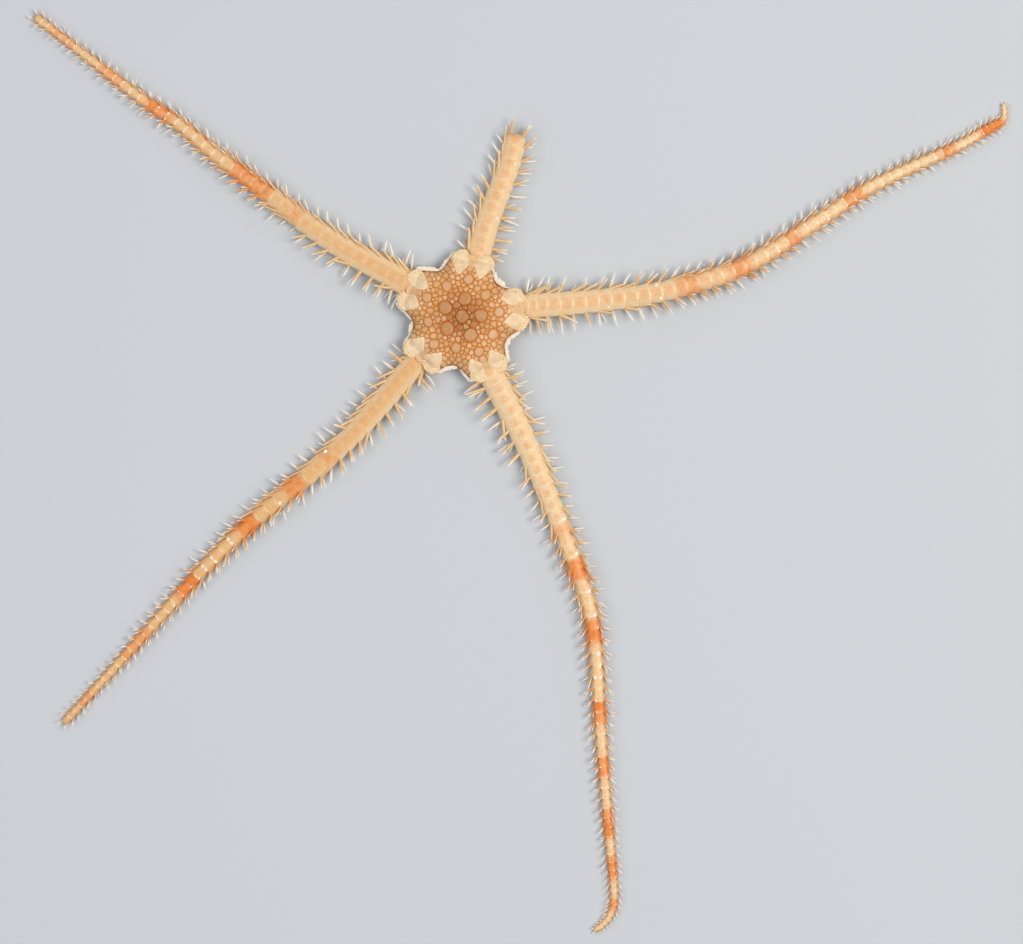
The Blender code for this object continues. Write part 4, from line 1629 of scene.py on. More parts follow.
@dataclass
class ArmPlates:
    """The plates of one arm: over its back, along its sides and underneath.

    Attributes:
        arm: The arm.
        back: Half of the angle that a plate of the back covers.
        flank: Middle and half of the angle that a side plate covers.
        belly: Half of the angle that a plate of the underside covers.
    """

    arm: Arm
    back: float = math.radians(53)
    flank: tuple[float, float] = (math.radians(-3), math.radians(52))
    belly: float = math.radians(26)

    MOUTH = 3.9 * MM  # where the plates underneath begin, from the disc's centre

    @staticmethod
    def model(columns: int, rows: int) -> Pattern:
        """A four-sided plate with a bevelled edge, from -1 to 1 across and along, and 0 to 1 high.

        Args:
            columns: Faces across it.
            rows: Faces along it.

        Returns:
            The plate as a closed pattern.
        """
        deselect()
        bpy.ops.mesh.primitive_grid_add(x_subdivisions=columns, y_subdivisions=rows, size=2.0)
        plate = bpy.context.object
        with editing(plate):
            bpy.ops.mesh.select_mode(type="FACE")
            bpy.ops.mesh.select_all(action="SELECT")
            bpy.ops.mesh.duplicate()
            bpy.ops.mesh.flip_normals()
            bpy.ops.mesh.select_all(action="INVERT")
            bpy.ops.mesh.extrude_region_move(TRANSFORM_OT_translate={"value": (0, 0, 0.6)})
            bpy.ops.mesh.inset(thickness=0.07, depth=0.0)
            bpy.ops.transform.translate(value=(0, 0, 0.4))
            bpy.ops.mesh.select_all(action="SELECT")
            bpy.ops.mesh.remove_doubles(threshold=0.001)
        return Pattern.taken_from(plate)

    def lay(
        self,
        joined: JoinedMesh,
        pattern: Pattern,
        middle: float,
        half: float | np.ndarray,
        part: tuple[np.ndarray, np.ndarray],
        rise: tuple[np.ndarray, np.ndarray],
        joints: np.ndarray,
    ) -> None:
        """Lays one plate on every segment.

        Args:
            joined: The piece that they go into.
            pattern: The plate.
            middle: The angle around the arm of its middle.
            half: Half of the angle that it covers, one value or one for each segment.
            part: Its points across, from -1 to 1, and along, in segments.
            rise: Its points' heights over the skin at the disc and at the tip, in arm widths.
            joints: The segments' ends.
        """
        arm = self.arm
        near, pitch = joints[:-1, None], np.diff(joints)[:, None]
        across, along = part
        turn = middle + across[None, :] * half
        distance = near + along[None, :] * pitch
        share = arm.share(near)
        lift = (rise[0][None, :] * (1 - share) + rise[1][None, :] * share) * arm.width(near)
        points = arm.surface(distance, np.broadcast_to(turn, distance.shape), lift)
        held = np.minimum(distance, arm.length)
        whole = arm.band(np.broadcast_to(near + pitch * 0.5, held.shape))
        joined.add(
            pattern,
            points,
            arm.unwrap(distance, turn, near),
            band=whole * 0.3 + arm.band(held) * 0.7,
            warm=arm.warm(near),
            far=arm.far(near),
            across=np.abs(np.cos(turn)),
            along=along,
            arc=arm.arc(near),
            pearl=0.0,
        )

    def make(self) -> None:
        """Makes the arm's three pieces of plates."""
        for piece in (self.back_plates(), self.side_plates(), self.under_plates()):
            dress(piece.make(), ArmPlateFinish(), 50)

    def back_plates(self) -> JoinedMesh:
        """Lays fans over the arm's back, narrow at the near end and bowed at the far one.

        Returns:
            The piece, with its white knobs.
        """
        fan = self.model(6, 4)
        x, y, z = fan.points.T
        share = (y + 1) / 2
        # Narrow and bowed at the near end, thickest along the middle of the far one
        narrow = 0.8 + 0.2 * smooth(share, 0.0, 0.85)
        along = 0.07 - 0.12 * x**2 + (0.98 - 0.06 * x**2) * share
        crown = z * (0.35 + 0.65 * share) * (1 - 0.85 * smooth(np.abs(x), 0.45, 1.0))
        back = JoinedMesh(f"{self.arm.name}_back_plates")
        near = self.arm.joints[:-1, None]
        half = self.back * (0.62 + 0.2 * smooth(near, near[0], near[0] + 3 * MM))
        half = half + self.back * 0.18 * smooth(self.arm.share(near), 0.1, 0.4)
        rise = (crown * 0.007 - 0.001, crown * 0.036)
        self.lay(back, fan, math.pi / 2, half, (x * narrow, along), rise, self.arm.joints)
        self.add_pearls(back)
        return back

    def side_plates(self) -> JoinedMesh:
        """Lays strips along both sides, which flare towards the spines at their far edge.

        Returns:
            The piece.
        """
        strip = self.model(5, 4)
        x, y, z = strip.points.T
        share = (y + 1) / 2
        along = 0.03 + 0.93 * share
        flare = smooth(share, 0.05, 0.9)
        sides = JoinedMesh(f"{self.arm.name}_side_plates")
        middle, half = self.flank
        # Thin where they meet the fans
        low = z * (1 - 0.9 * smooth(x, 0.2, 1.0))
        rise = (low * (0.004 + 0.007 * flare) - 0.001, low * (0.01 + 0.05 * flare))
        # Near the disc they reach up further, to the narrower fans
        inward = 1 - smooth(self.arm.share(self.arm.joints[:-1, None]), 0.1, 0.4)
        half = half + math.radians(7) * inward
        for side in Side:
            centre = middle if side is Side.LEFT else math.pi - middle
            self.lay(sides, strip, centre, half, (x * side.value, along), rise, self.arm.joints)
        return sides

    def under_plates(self) -> JoinedMesh:
        """Lays tiles along the underside, as far as the mouth.

        Returns:
            The piece.
        """
        tile = self.model(4, 3)
        x, y, z = tile.points.T
        share = (y + 1) / 2
        # Narrow at the near end and drawn in a little at the far one
        pinch = 1 - 0.35 * (1 - share) - 0.2 * smooth(share, 0.8, 1.0)
        under = JoinedMesh(f"{self.arm.name}_under_plates")
        rise = (z * 0.024, z * 0.05)
        hidden = np.linspace(self.arm.course.distance_from_centre(self.MOUTH), self.arm.joints[0], 7)
        joints = np.concatenate((hidden[:-1], self.arm.joints))
        self.lay(under, tile, -math.pi / 2, self.belly, (x * pinch, 0.08 + 0.84 * share), rise, joints)
        return under

    def add_pearls(self, joined: JoinedMesh) -> None:
        """Adds the white knobs at the far corners of some back plates.

        Args:
            joined: The piece of back plates.
        """
        arm = self.arm
        deselect()
        bpy.ops.mesh.primitive_uv_sphere_add(segments=10, ring_count=6, radius=1.0)
        ball = Pattern.taken_from(bpy.context.object)
        draw = np.random.default_rng(arm.seed + 50)
        near, pitch = arm.joints[:-1], np.diff(arm.joints)
        corners = []
        for side in Side:
            chosen = draw.uniform(0, 1, len(near)) < 0.5 * smooth(arm.share(near), 0.35, 0.55)
            place = near[chosen] + pitch[chosen] * 0.9
            off = arm.width(place) * draw.uniform(0.2, 0.3, len(place)) * side.value
            size = arm.width(place) * draw.uniform(0.05, 0.095, len(place))
            corners.append(np.column_stack((place, off, size)))
        if arm.pearls:
            corners.append(np.array(arm.pearls) * (MM, MM, 1.2 * MM))
        distance, off, size = np.concatenate(corners).T[..., None]
        turn = np.arccos(np.clip(2 * off / arm.width(distance), -0.9, 0.9))
        centre = arm.surface(distance, turn, 0.01 * MM)
        joined.add(
            ball,
            centre + ball.points[None] * size[..., None] * (1, 1, 0.45),
            arm.unwrap(distance, turn, distance) + ball.points[None, :, :2] * 0.0015,
            **dict.fromkeys(("band", "warm", "far", "across", "along", "arc"), 0.0),
            pearl=1.0,
        )


@dataclass(frozen=True)
class SpineRow:
    """One row of spines along each side of an arm.

    Attributes:
        root: Where its roots are, in degrees around the arm from its side.
        rise: How steeply it points up, in degrees.
        leans: Degrees from the arm's direction at the disc, at a fifth of the way and at the tip.
        length: Its share of the longest spines' length.
        girth: Its share of the spines' thickness.
        glass: How white it is, from 0 for tan to 1.
        span: The parts of the arm between which it is there.
        spread: How far a spine strays at random, in degrees.
    """

    root: float
    rise: float
    leans: tuple[float, float, float]
    length: float
    girth: float
    glass: float
    span: tuple[float, float]
    spread: float


@dataclass
class Spines:
    """The spines of one arm, a fan of them on each side of every segment.

    Attributes:
        arm: The arm.
        reach: The length of the longest, in arm widths.
        thickness: Its radius near the root.
        patch: How wide each spine is on the unwrap.
    """

    arm: Arm
    reach: float = 0.74
    thickness: float = 0.255 * MM
    patch: float = 0.003

    FIRST = 10.9 * MM  # the nearest joint with spines, from the disc's centre
    KEPT = 0.96  # the share of spines that aren't missing
    FLANK = 0.7  # where across the arm they take their colours
    FORWARD = 32  # degrees by which the last ones fold forward round an arm's end
    LEANS = (6, 108)  # the least and the most lean, in degrees
    LOW = SpineRow(-32, -4, (74, 64, 54), 0.68, 0.8, 1.0, (0.0, 0.85), 7)
    SIDE = SpineRow(-6, 6, (90, 68, 50), 0.94, 0.88, 0.85, (0.0, 1.01), 7)
    UPPER = SpineRow(20, 20, (86, 52, 40), 1.0, 1.12, 0.2, (0.0, 1.01), 8)
    TOP = SpineRow(36, 32, (60, 38, 34), 0.82, 0.85, 0.3, (0.28, 0.8), 9)
    LYING = SpineRow(22, 8, (22, 13, 20), 1.05, 1.0, 0.05, (0.0, 0.55), 4)

    @staticmethod
    def model() -> Pattern:
        """One spine: round, a little swollen over its root, tapering to a fine tip.

        Returns:
            The spine, along +Z from 0 to 1 and about 1 in radius.
        """
        deselect()
        bpy.ops.mesh.primitive_cone_add(
            vertices=8, radius1=1.0, radius2=0.3, depth=1.0, end_fill_type="NGON", location=(0, 0, 0.5)
        )
        spine = bpy.context.object
        with editing(spine):
            for height in (0.1, 0.35, 0.7, 0.93):
                bpy.ops.mesh.select_all(action="SELECT")
                bpy.ops.mesh.bisect(plane_co=(0, 0, height), plane_no=(0, 0, 1))
        made = Pattern.taken_from(spine)
        angle = made.angle
        radius = np.interp(
            made.points[:, 2], (0.0, 0.1, 0.35, 0.7, 0.93, 1.0), (0.85, 1.0, 0.97, 0.8, 0.54, 0.2)
        )
        made.points[:, 0] = np.cos(angle) * radius
        made.points[:, 1] = np.sin(angle) * radius
        return made

    def make(self) -> bpy.types.Object:
        """Sets the spines along the arm.

        Returns:
            The joined spines.
        """
        arm = self.arm
        spine = self.model()
        joined = JoinedMesh(f"{arm.name}_spines")
        draw = np.random.default_rng(arm.seed + 200)
        near, pitch = arm.joints[:-1], np.diff(arm.joints)
        share = arm.share(near + pitch)
        outside = near + pitch > arm.course.distance_from_centre(self.FIRST)
        for index, side in enumerate(Side):
            lies = (draw.uniform(0, 1, len(near)) < arm.lying[index]) & (share < self.LYING.span[1])
            for row in (self.LOW, self.SIDE, self.UPPER, self.TOP, self.LYING):
                kept = outside & (share >= row.span[0]) & (share < row.span[1])
                kept &= draw.uniform(0, 1, len(near)) < self.KEPT
                if row in (self.UPPER, self.LYING):
                    kept &= lies if row is self.LYING else ~lies
                shift = 0 if row is self.LYING else arm.lean_shifts[index]
                self.add_row(joined, spine, draw, near[kept], pitch[kept], side, row, shift)
        return dress(joined.make(), SpineFinish(), 60)

    def add_row(
        self,
        joined: JoinedMesh,
        spine: Pattern,
        draw: np.random.Generator,
        near: np.ndarray,
        pitch: np.ndarray,
        side: Side,
        row: SpineRow,
        shift: float,
    ) -> None:
        """Adds one row of spines along one side.

        Args:
            joined: The piece that they go into.
            spine: The modelled spine.
            draw: The random draws.
            near: The near ends of the segments.
            pitch: Their lengths.
            side: The side of the arm.
            row: The row's place, directions, length and spread.
            shift: Degrees added to its lean.
        """
        arm = self.arm
        count = len(near)
        noise = np.clip(draw.normal(0, 1, (7, count)), -2, 2)
        distance = near + pitch * (0.84 + 0.03 * noise[0])
        share = arm.share(distance)
        width = arm.width(distance)
        turn = np.radians(row.root + 3 * noise[1])
        turn = turn if side is Side.LEFT else math.pi - turn
        foot = arm.surface(distance, turn, -0.03 * width)
        lean = np.interp(share, (0.0, 0.2, 1.0), row.leans) + row.spread * noise[2]
        # An arm's two sides differ most near the disc
        lean = lean + shift * (1 - 0.8 * smooth(share, 0.3, 0.8))
        lean = lean - self.FORWARD * smooth(distance, arm.length - arm.end.fold, arm.length)
        lean = np.radians(np.clip(lean, *self.LEANS))
        tilt = np.radians(row.rise + 5 * noise[3])
        _, heading = arm.course.frames(distance)
        left = np.stack((-heading[:, 1], heading[:, 0]), -1) * side.value
        level = heading * np.cos(lean)[:, None] + left * np.sin(lean)[:, None]
        ahead = np.column_stack((level * np.cos(tilt)[:, None], np.sin(tilt)))
        aside = np.cross(ahead, (0.0, 0.0, 1.0))
        aside /= np.linalg.norm(aside, axis=1)[:, None]
        above = np.cross(aside, ahead)
        length = width * self.reach * row.length * (1 + 0.1 * noise[4])
        length = length * (1 - arm.stubby * smooth(distance, arm.length - 6 * MM, arm.length - 2 * MM))
        size = self.thickness * row.girth * (width / arm.base_width) ** 0.95 * (1 + 0.1 * noise[6])
        bend = 0.06 * noise[5] * length
        x, y, z = spine.points.T
        points = (
            foot[:, None, :]
            + aside[:, None, :] * (x[None, :] * size[:, None] + bend[:, None] * z**2)[..., None]
            + above[:, None, :] * (y[None, :] * size[:, None])[..., None]
            + ahead[:, None, :] * (z[None, :] * length[:, None])[..., None]
        )
        points[..., 2] = np.maximum(points[..., 2], 0.02 * MM)
        place = arm.unwrap(distance, turn, distance)[:, None, :]
        patch = np.stack((x * 0.5, z - 0.5), -1)[None] * self.patch
        glass = row.glass + 0.12 * noise[6] + 0.45 * smooth(share, 0.3, 0.8)
        joined.add(
            spine,
            points,
            place + patch,
            tip=z,
            glass=np.clip(glass, 0, 1)[:, None],
            band=arm.band(distance)[:, None],
            warm=arm.warm(distance)[:, None],
            far=arm.far(distance)[:, None],
            across=self.FLANK,
            along=SEGMENT_MIDDLE,
        )


# The mouth


@dataclass
class Mouth:
    """The oral side: five jaws with their papillae, oral shields and the scales between the arms.

    Attributes:
        seed: The start of the random draws.
        plates: The plates of one jaw: along and aside from the mouth's middle, half length, half width,
            turn in degrees, lowest and highest level, otherwise in millimetres.
    """

    seed: int = 30
    plates: tuple = (
        (2.35, 0.5, 1.45, 0.46, -10, 0.22, 1.2),
        (2.35, -0.5, 1.45, 0.46, 10, 0.22, 1.2),
        (4.85, 0.0, 0.95, 0.98, 0, 0.14, 0.9),
        (3.95, 0.98, 0.72, 0.3, 48, 0.18, 0.9),
        (3.95, -0.98, 0.72, 0.3, -48, 0.18, 0.9),
        (1.05, 0.0, 0.3, 0.42, 0, 0.25, 1.1),
    )

    SCALES_START = 6.0  # how far from the mouth's middle its scales begin, in millimetres
    EDGE_ROOM = 0.25  # how far they keep from the disc's edge
    CLOSENESS = 0.93  # how near two of them come, as a share of their radii

    @staticmethod
    def frame_of(index: int) -> tuple[np.ndarray, np.ndarray]:
        """The direction of a jaw and the one across it.

        Args:
            index: Its number.

        Returns:
            Both directions, of length 1.
        """
        angle = ray_angle(index + 0.5)
        ahead = np.array((math.cos(angle), math.sin(angle)))
        return ahead, np.array((-ahead[1], ahead[0]))

    def make_jaws(self) -> bpy.types.Object:
        """Models the bony plates of the five jaws.

        Returns:
            The joined jaws, which stand for the jaws' nodes.
        """
        plate = model_plate(20, ((0, 0.7), (0.12, 0.2), (0.3, 0.1)))
        draw = np.random.default_rng(self.seed)
        joined = JoinedMesh("jaws")
        for index in range(RAYS):
            ahead, aside = self.frame_of(index)
            for along, off, half_length, half_width, degrees, low, high in self.plates:
                turn = math.radians(degrees)
                a = plate.points[:, 0] * half_length
                b = plate.points[:, 1] * half_width * (1 - 0.22 * plate.points[:, 0])
                c = along + a * math.cos(turn) - b * math.sin(turn)
                d = off + a * math.sin(turn) + b * math.cos(turn)
                spot = (ahead * c[:, None] + aside * d[:, None]) * MM
                level = (high - plate.points[:, 2] * (high - low)) * MM
                points = np.column_stack((spot + DISC_PLACE, level))
                places = DOME.unwrap(spot[:, 0], spot[:, 1])
                joined.add(plate, points, places, rim=plate.spread**3, tone=draw.uniform(-1, 1))
        made = dress(joined.make(), RootPlateFinish(), 50)
        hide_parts(*(f"jaw_{index + 1}" for index in range(RAYS)))
        return made

    def make_papillae(self) -> bpy.types.Object:
        """Models the papillae that line the jaws and the teeth at their points.

        Returns:
            The joined papillae.
        """
        cone = Spines.model()
        draw = np.random.default_rng(self.seed + 1)
        joined = JoinedMesh("mouth_papillae")
        # Along and aside from the mouth's middle, the direction in degrees from the jaw's, and the length
        forms = [(0.82, side * 0.24, 180 - side * 12, 0.45) for side in (-1, 0, 1)]
        forms += [
            (1.25 + 0.42 * step, side * (0.52 + 0.13 * step), side * (112 - 9 * step), 0.42)
            for step in range(4)
            for side in (-1, 1)
        ]
        x, y, z = cone.points.T
        for index in range(RAYS):
            ahead, aside = self.frame_of(index)
            for along, off, degrees, length in forms:
                turn = math.radians(degrees + draw.uniform(-6, 6))
                out = ahead * math.cos(turn) + aside * math.sin(turn)
                over = np.array((-out[1], out[0]))
                foot = (ahead * along + aside * off) * MM
                size = 0.15 * MM * draw.uniform(0.85, 1.15)
                level = foot + out * (z * length * MM)[:, None] + over * (x * size)[:, None]
                height = 0.42 * MM + y * size * 1.5
                points = np.column_stack((level + DISC_PLACE, height))
                places = DOME.unwrap(foot[0], foot[1]) + np.stack((x * 0.5, z - 0.5), -1) * Spines.patch
                joined.add(cone, points, places, rim=z * 0.6, tone=draw.uniform(-1, 1))
        return dress(joined.make(), RootPlateFinish(), 60)

    def make_scales(self) -> bpy.types.Object:
        """Covers the underside between the arms with small scales.

        Returns:
            The joined scales.
        """
        draw = np.random.default_rng(self.seed + 2)
        kept = np.array([(50.0, 50.0, 0.1)])
        for radius in np.linspace(0.42, 0.15, 14):
            spots = draw.uniform(-11.0, 11.0, (2400, 2))
            away = np.hypot(spots[:, 0], spots[:, 1])
            angle = np.arctan2(spots[:, 1], spots[:, 0])
            free = (away < DOME.outline(angle) / MM - self.EDGE_ROOM - radius) & (away > self.SCALES_START)
            for arm in ARMS:
                to_arm = spots[:, None, :] * MM - arm.course.places[None, :120, :]
                apart = np.sqrt((to_arm**2).sum(-1)).min(1)
                free &= apart > arm.base_width / 2 + (radius + 0.05) * MM
            for spot in spots[free]:
                if has_room(kept, spot, radius, self.CLOSENESS):
                    kept = np.vstack((kept, (spot[0], spot[1], radius)))
        sites = kept[1:]
        plate = model_plate(10, ((0, 0.6), (0.2, 0.4)))
        x = (sites[:, 0][:, None] + sites[:, 2][:, None] * plate.spread * np.cos(plate.angle)) * MM
        y = (sites[:, 1][:, None] + sites[:, 2][:, None] * plate.spread * np.sin(plate.angle)) * MM
        drop = plate.points[:, 2][None, :] * 0.13 * MM - 0.04 * MM
        joined = JoinedMesh("oral_scales")
        joined.add(
            plate,
            DOME.lower(x, y, drop),
            DOME.unwrap(x, y),
            rim=plate.spread**3,
            tone=draw.uniform(-1, 1, (len(sites), 1)),
            size=0.0,
            away=9.0,
        )
        return dress(joined.make(), ScaleFinish(), 50)


# Finishes

Tree, Socket = bpy.types.NodeTree, bpy.types.NodeSocket
MARK, NOISE = "ShaderNodeAttribute", "ShaderNodeTexNoise"
RANGE, MIX, MATH = "ShaderNodeMapRange", "ShaderNodeMix", "ShaderNodeMath"

# A range node takes its input 0 from between inputs 1 and 2 to between inputs 3 and 4, evenly or softly.
# A mix node mixes the colours of its inputs 6 and 7 by its input 0, and gives the result as output 2.
COLOURS = {"data_type": "RGBA", "out": 2}
SOFTLY = {"interpolation_type": "SMOOTHSTEP"}


def linear(colour: str) -> tuple[float, float, float, float]:
    """Turns an sRGB hex colour to linear light.

    Args:
        colour: Six hex digits after a hash.

    Returns:
        Red, green, blue and alpha.
    """
    parts = [int(colour[i : i + 2], 16) / 255 for i in (1, 3, 5)]
    return (*(p / 12.92 if p <= 0.04045 else ((p + 0.055) / 1.055) ** 2.4 for p in parts), 1.0)


def add_node(
    tree: Tree, kind: str, inputs: dict | None = None, out: str | int = 0, **settings: object
) -> Socket:
    """Adds a node with its settings and links.

    Args:
        tree: The material's tree.
        kind: The node's type.
        inputs: A value, a hex colour or another node's socket for each input, by name or number.
        out: The output that is wanted, by name or number.
        settings: The node's own settings.

    Returns:
        The socket of that output.
    """
    made = tree.nodes.new(kind)
    for name, value in settings.items():
        setattr(made, name, value)
    for key, value in (inputs or {}).items():
        if isinstance(value, Socket):
            tree.links.new(value, made.inputs[key])
        else:
            made.inputs[key].default_value = linear(value) if isinstance(value, str) else value
    return made.outputs[out]


@dataclass(frozen=True)
class Finish:
    """A surface of the animal, with the settings that all its surfaces share.

    Attributes:
        name: The material's name.
        roughness: Between gloss at 0 and matt at 1.
        subsurface: How much light goes into it.
        grain: The size of its fine grain, in millimetres, drawn coarser than the real pores of about
            0.02 mm so that it shows.
        relief: The depth of the grain, in millimetres.
    """

    name: str = "finish"
    roughness: float = 0.5
    subsurface: float = 0.06
    grain: float = 0.14
    relief: float = 0.012

    DEPTH = 0.4 * MM  # how far light goes in
    SCATTER = (1.0, 0.78, 0.58)  # how far red, green and blue do, as shares of that
    REFRACTION = 1.45  # of the wet film over it

    def colour(self, tree: Tree, place: Socket, grain: Socket) -> Socket:
        """The colour's socket, which each finish gives."""
        raise NotImplementedError

    def material(self) -> bpy.types.Material:
        """Makes the material, once.

        Returns:
            A material with its colour, roughness and grain from nodes.
        """
        found = bpy.data.materials.get(self.name)
        if found:
            return found
        material = bpy.data.materials.new(self.name)
        material.use_nodes = True
        tree = material.node_tree
        surface = tree.nodes["Principled BSDF"]
        place = add_node(tree, "ShaderNodeTexCoord", out="Object")
        grain = add_node(
            tree, NOISE, {"Vector": place, "Scale": 1 / (self.grain * MM), "Detail": 3.0, "Roughness": 0.6}
        )
        rough = add_node(
            tree, RANGE, {0: grain, 1: 0.3, 2: 0.7, 3: self.roughness - 0.08, 4: self.roughness + 0.1}
        )
        bump = add_node(
            tree, "ShaderNodeBump", {"Height": grain, "Distance": self.relief * MM, "Strength": 0.8}
        )
        tree.links.new(self.colour(tree, place, grain), surface.inputs["Base Color"])
        tree.links.new(rough, surface.inputs["Roughness"])
        tree.links.new(bump, surface.inputs["Normal"])
        surface.inputs["Subsurface Weight"].default_value = self.subsurface
        surface.inputs["Subsurface Radius"].default_value = self.SCATTER
        surface.inputs["Subsurface Scale"].default_value = self.DEPTH
        surface.inputs["IOR"].default_value = self.REFRACTION
        return material


@dataclass(frozen=True)
class ArmFinish(Finish):
    """The markings of an arm, which its skin, plates and spines share.

    Attributes:
        cream: The palest ground.
        tan: The warmest ground, partly painted shade.
        flank: The sides of the outer arm.
        pale: The sides near the disc, partly their own pale cream and partly painted light.
        peach: The soft patch in the middle of each back plate.
        orange: The bands.
        deep: The darkest places of the bands.
        fleck: The fine mottling.
        patch_size: Of the clouds in patches and bands, in millimetres.
        fleck_size: Of the mottling, in millimetres, drawn coarser than the real pigment spots of about
            0.1 mm, which the photograph hardly shows.
    """

    cream: str = "#fadcb0"
    tan: str = "#e5b57a"
    flank: str = "#e0a86b"
    pale: str = "#f9e2b9"
    peach: str = "#de9a5a"
    orange: str = "#ec8736"
    deep: str = "#cb6a26"
    fleck: str = "#dc9a5c"
    patch_size: float = 1.1
    fleck_size: float = 0.55

    def colour(self, tree: Tree, place: Socket, grain: Socket) -> Socket:
        """Cream to tan, with a row of peach patches, deeper sides and orange bands.

        Args:
            tree: The material's tree.
            place: Points of the surface.
            grain: The fine grain.

        Returns:
            The colour.
        """
        across, along, warm, far, band = (
            add_node(tree, MARK, out="Fac", attribute_name=name)
            for name in ("across", "along", "warm", "far", "band")
        )
        patches, speckle = (
            add_node(tree, NOISE, {"Vector": place, "Scale": 1 / (size * MM), "Detail": detail})
            for size, detail in ((self.patch_size, 4.0), (self.fleck_size, 3.0))
        )
        # Cream to tan by the warm mark, partly painted shade on the arms further from the key light
        ground = add_node(tree, MIX, {0: warm, 6: self.cream, 7: self.tan}, **COLOURS)
        most = add_node(tree, RANGE, {0: far, 3: 0.3, 4: 0.46})
        flecks = add_node(tree, RANGE, {0: speckle, 1: 0.4, 2: 0.7, 3: 0.0, 4: most})
        ground = add_node(tree, MIX, {0: flecks, 6: ground, 7: self.fleck}, **COLOURS)
        # The sides are pale near the disc, partly painted light on sides that slope away from the lamps,
        # and deep further out
        sides = add_node(tree, MIX, {0: far, 6: self.pale, 7: self.flank}, **COLOURS)
        most = add_node(tree, RANGE, {0: far, 3: 0.85, 4: 0.75})
        side = add_node(tree, RANGE, {0: across, 1: 0.35, 2: 0.85, 4: most})
        ground = add_node(tree, MIX, {0: side, 6: ground, 7: sides}, **COLOURS)
        # A peach patch lies in the middle of each back plate, fainter further out
        strength = add_node(tree, RANGE, {0: far, 3: 0.47, 4: 0.2})
        patch = add_node(tree, RANGE, {0: across, 1: 0.75, 2: 0.1, 4: strength}, **SOFTLY)
        near = add_node(tree, RANGE, {0: along, 1: 1.0, 2: 0.6}, **SOFTLY)
        start = add_node(tree, RANGE, {0: along, 1: 0.0, 2: 0.4, 3: 0.2}, **SOFTLY)
        uneven = add_node(tree, RANGE, {0: patches, 1: 0.34, 2: 0.66, 3: 0.55, 4: 1.15})
        for part in (near, start, uneven):
            patch = add_node(tree, MATH, {0: patch, 1: part}, operation="MULTIPLY")
        ground = add_node(tree, MIX, {0: patch, 6: ground, 7: self.peach}, **COLOURS)
        # The bands are cloudy, and deeper in places
        strong = add_node(tree, RANGE, {0: patches, 1: 0.46, 2: 0.74, 3: 0.0, 4: 0.6})
        orange = add_node(tree, MIX, {0: strong, 6: self.orange, 7: self.deep}, **COLOURS)
        cloudy = add_node(tree, RANGE, {0: patches, 1: 0.34, 2: 0.6, 3: 0.72, 4: 1.15})
        band = add_node(tree, MATH, {0: band, 1: cloudy}, operation="MULTIPLY", use_clamp=True)
        return add_node(tree, MIX, {0: band, 6: ground, 7: orange}, **COLOURS)


@dataclass(frozen=True)
class ArmPlateFinish(ArmFinish):
    """Lime plate under a film of skin: satin, with a paler far edge and a few white knobs.

    Attributes:
        edge: The far edges.
        knob: The white knobs.
    """

    # Lime under a damp film gives the eye soft broad highlights, and a pale line at each joint
    name: str = "arm_lime_plate"
    roughness: float = 0.42
    edge: str = "#fdf0d4"
    knob: str = "#fbeeda"

    def colour(self, tree: Tree, place: Socket, grain: Socket) -> Socket:
        """The arm's markings, with the plates' edges and knobs.

        Args:
            tree: The material's tree.
            place: Points of the surface.
            grain: The fine grain.

        Returns:
            The colour.
        """
        ground = super().colour(tree, place, grain)
        across, along, far, band, arc, knob = (
            add_node(tree, MARK, out="Fac", attribute_name=name)
            for name in ("across", "along", "far", "band", "arc", "pearl")
        )
        most = add_node(tree, RANGE, {0: across, 1: 0.35, 2: 0.7, 3: 0.32, 4: 0.0})
        patchy = add_node(tree, RANGE, {0: grain, 1: 0.3, 2: 0.65, 3: 0.6, 4: 1.7})
        faint = add_node(tree, RANGE, {0: band, 3: 1.0, 4: 0.4})
        for part in (arc, patchy, faint):
            most = add_node(tree, MATH, {0: most, 1: part}, operation="MULTIPLY")
        start = add_node(tree, RANGE, {0: far, 3: 0.87, 4: 0.76})
        edge = add_node(tree, RANGE, {0: along, 1: start, 2: 0.97, 4: most})
        for share, tint in ((edge, self.edge), (knob, self.knob)):
            ground = add_node(tree, MIX, {0: share, 6: ground, 7: tint}, **COLOURS)
        return ground


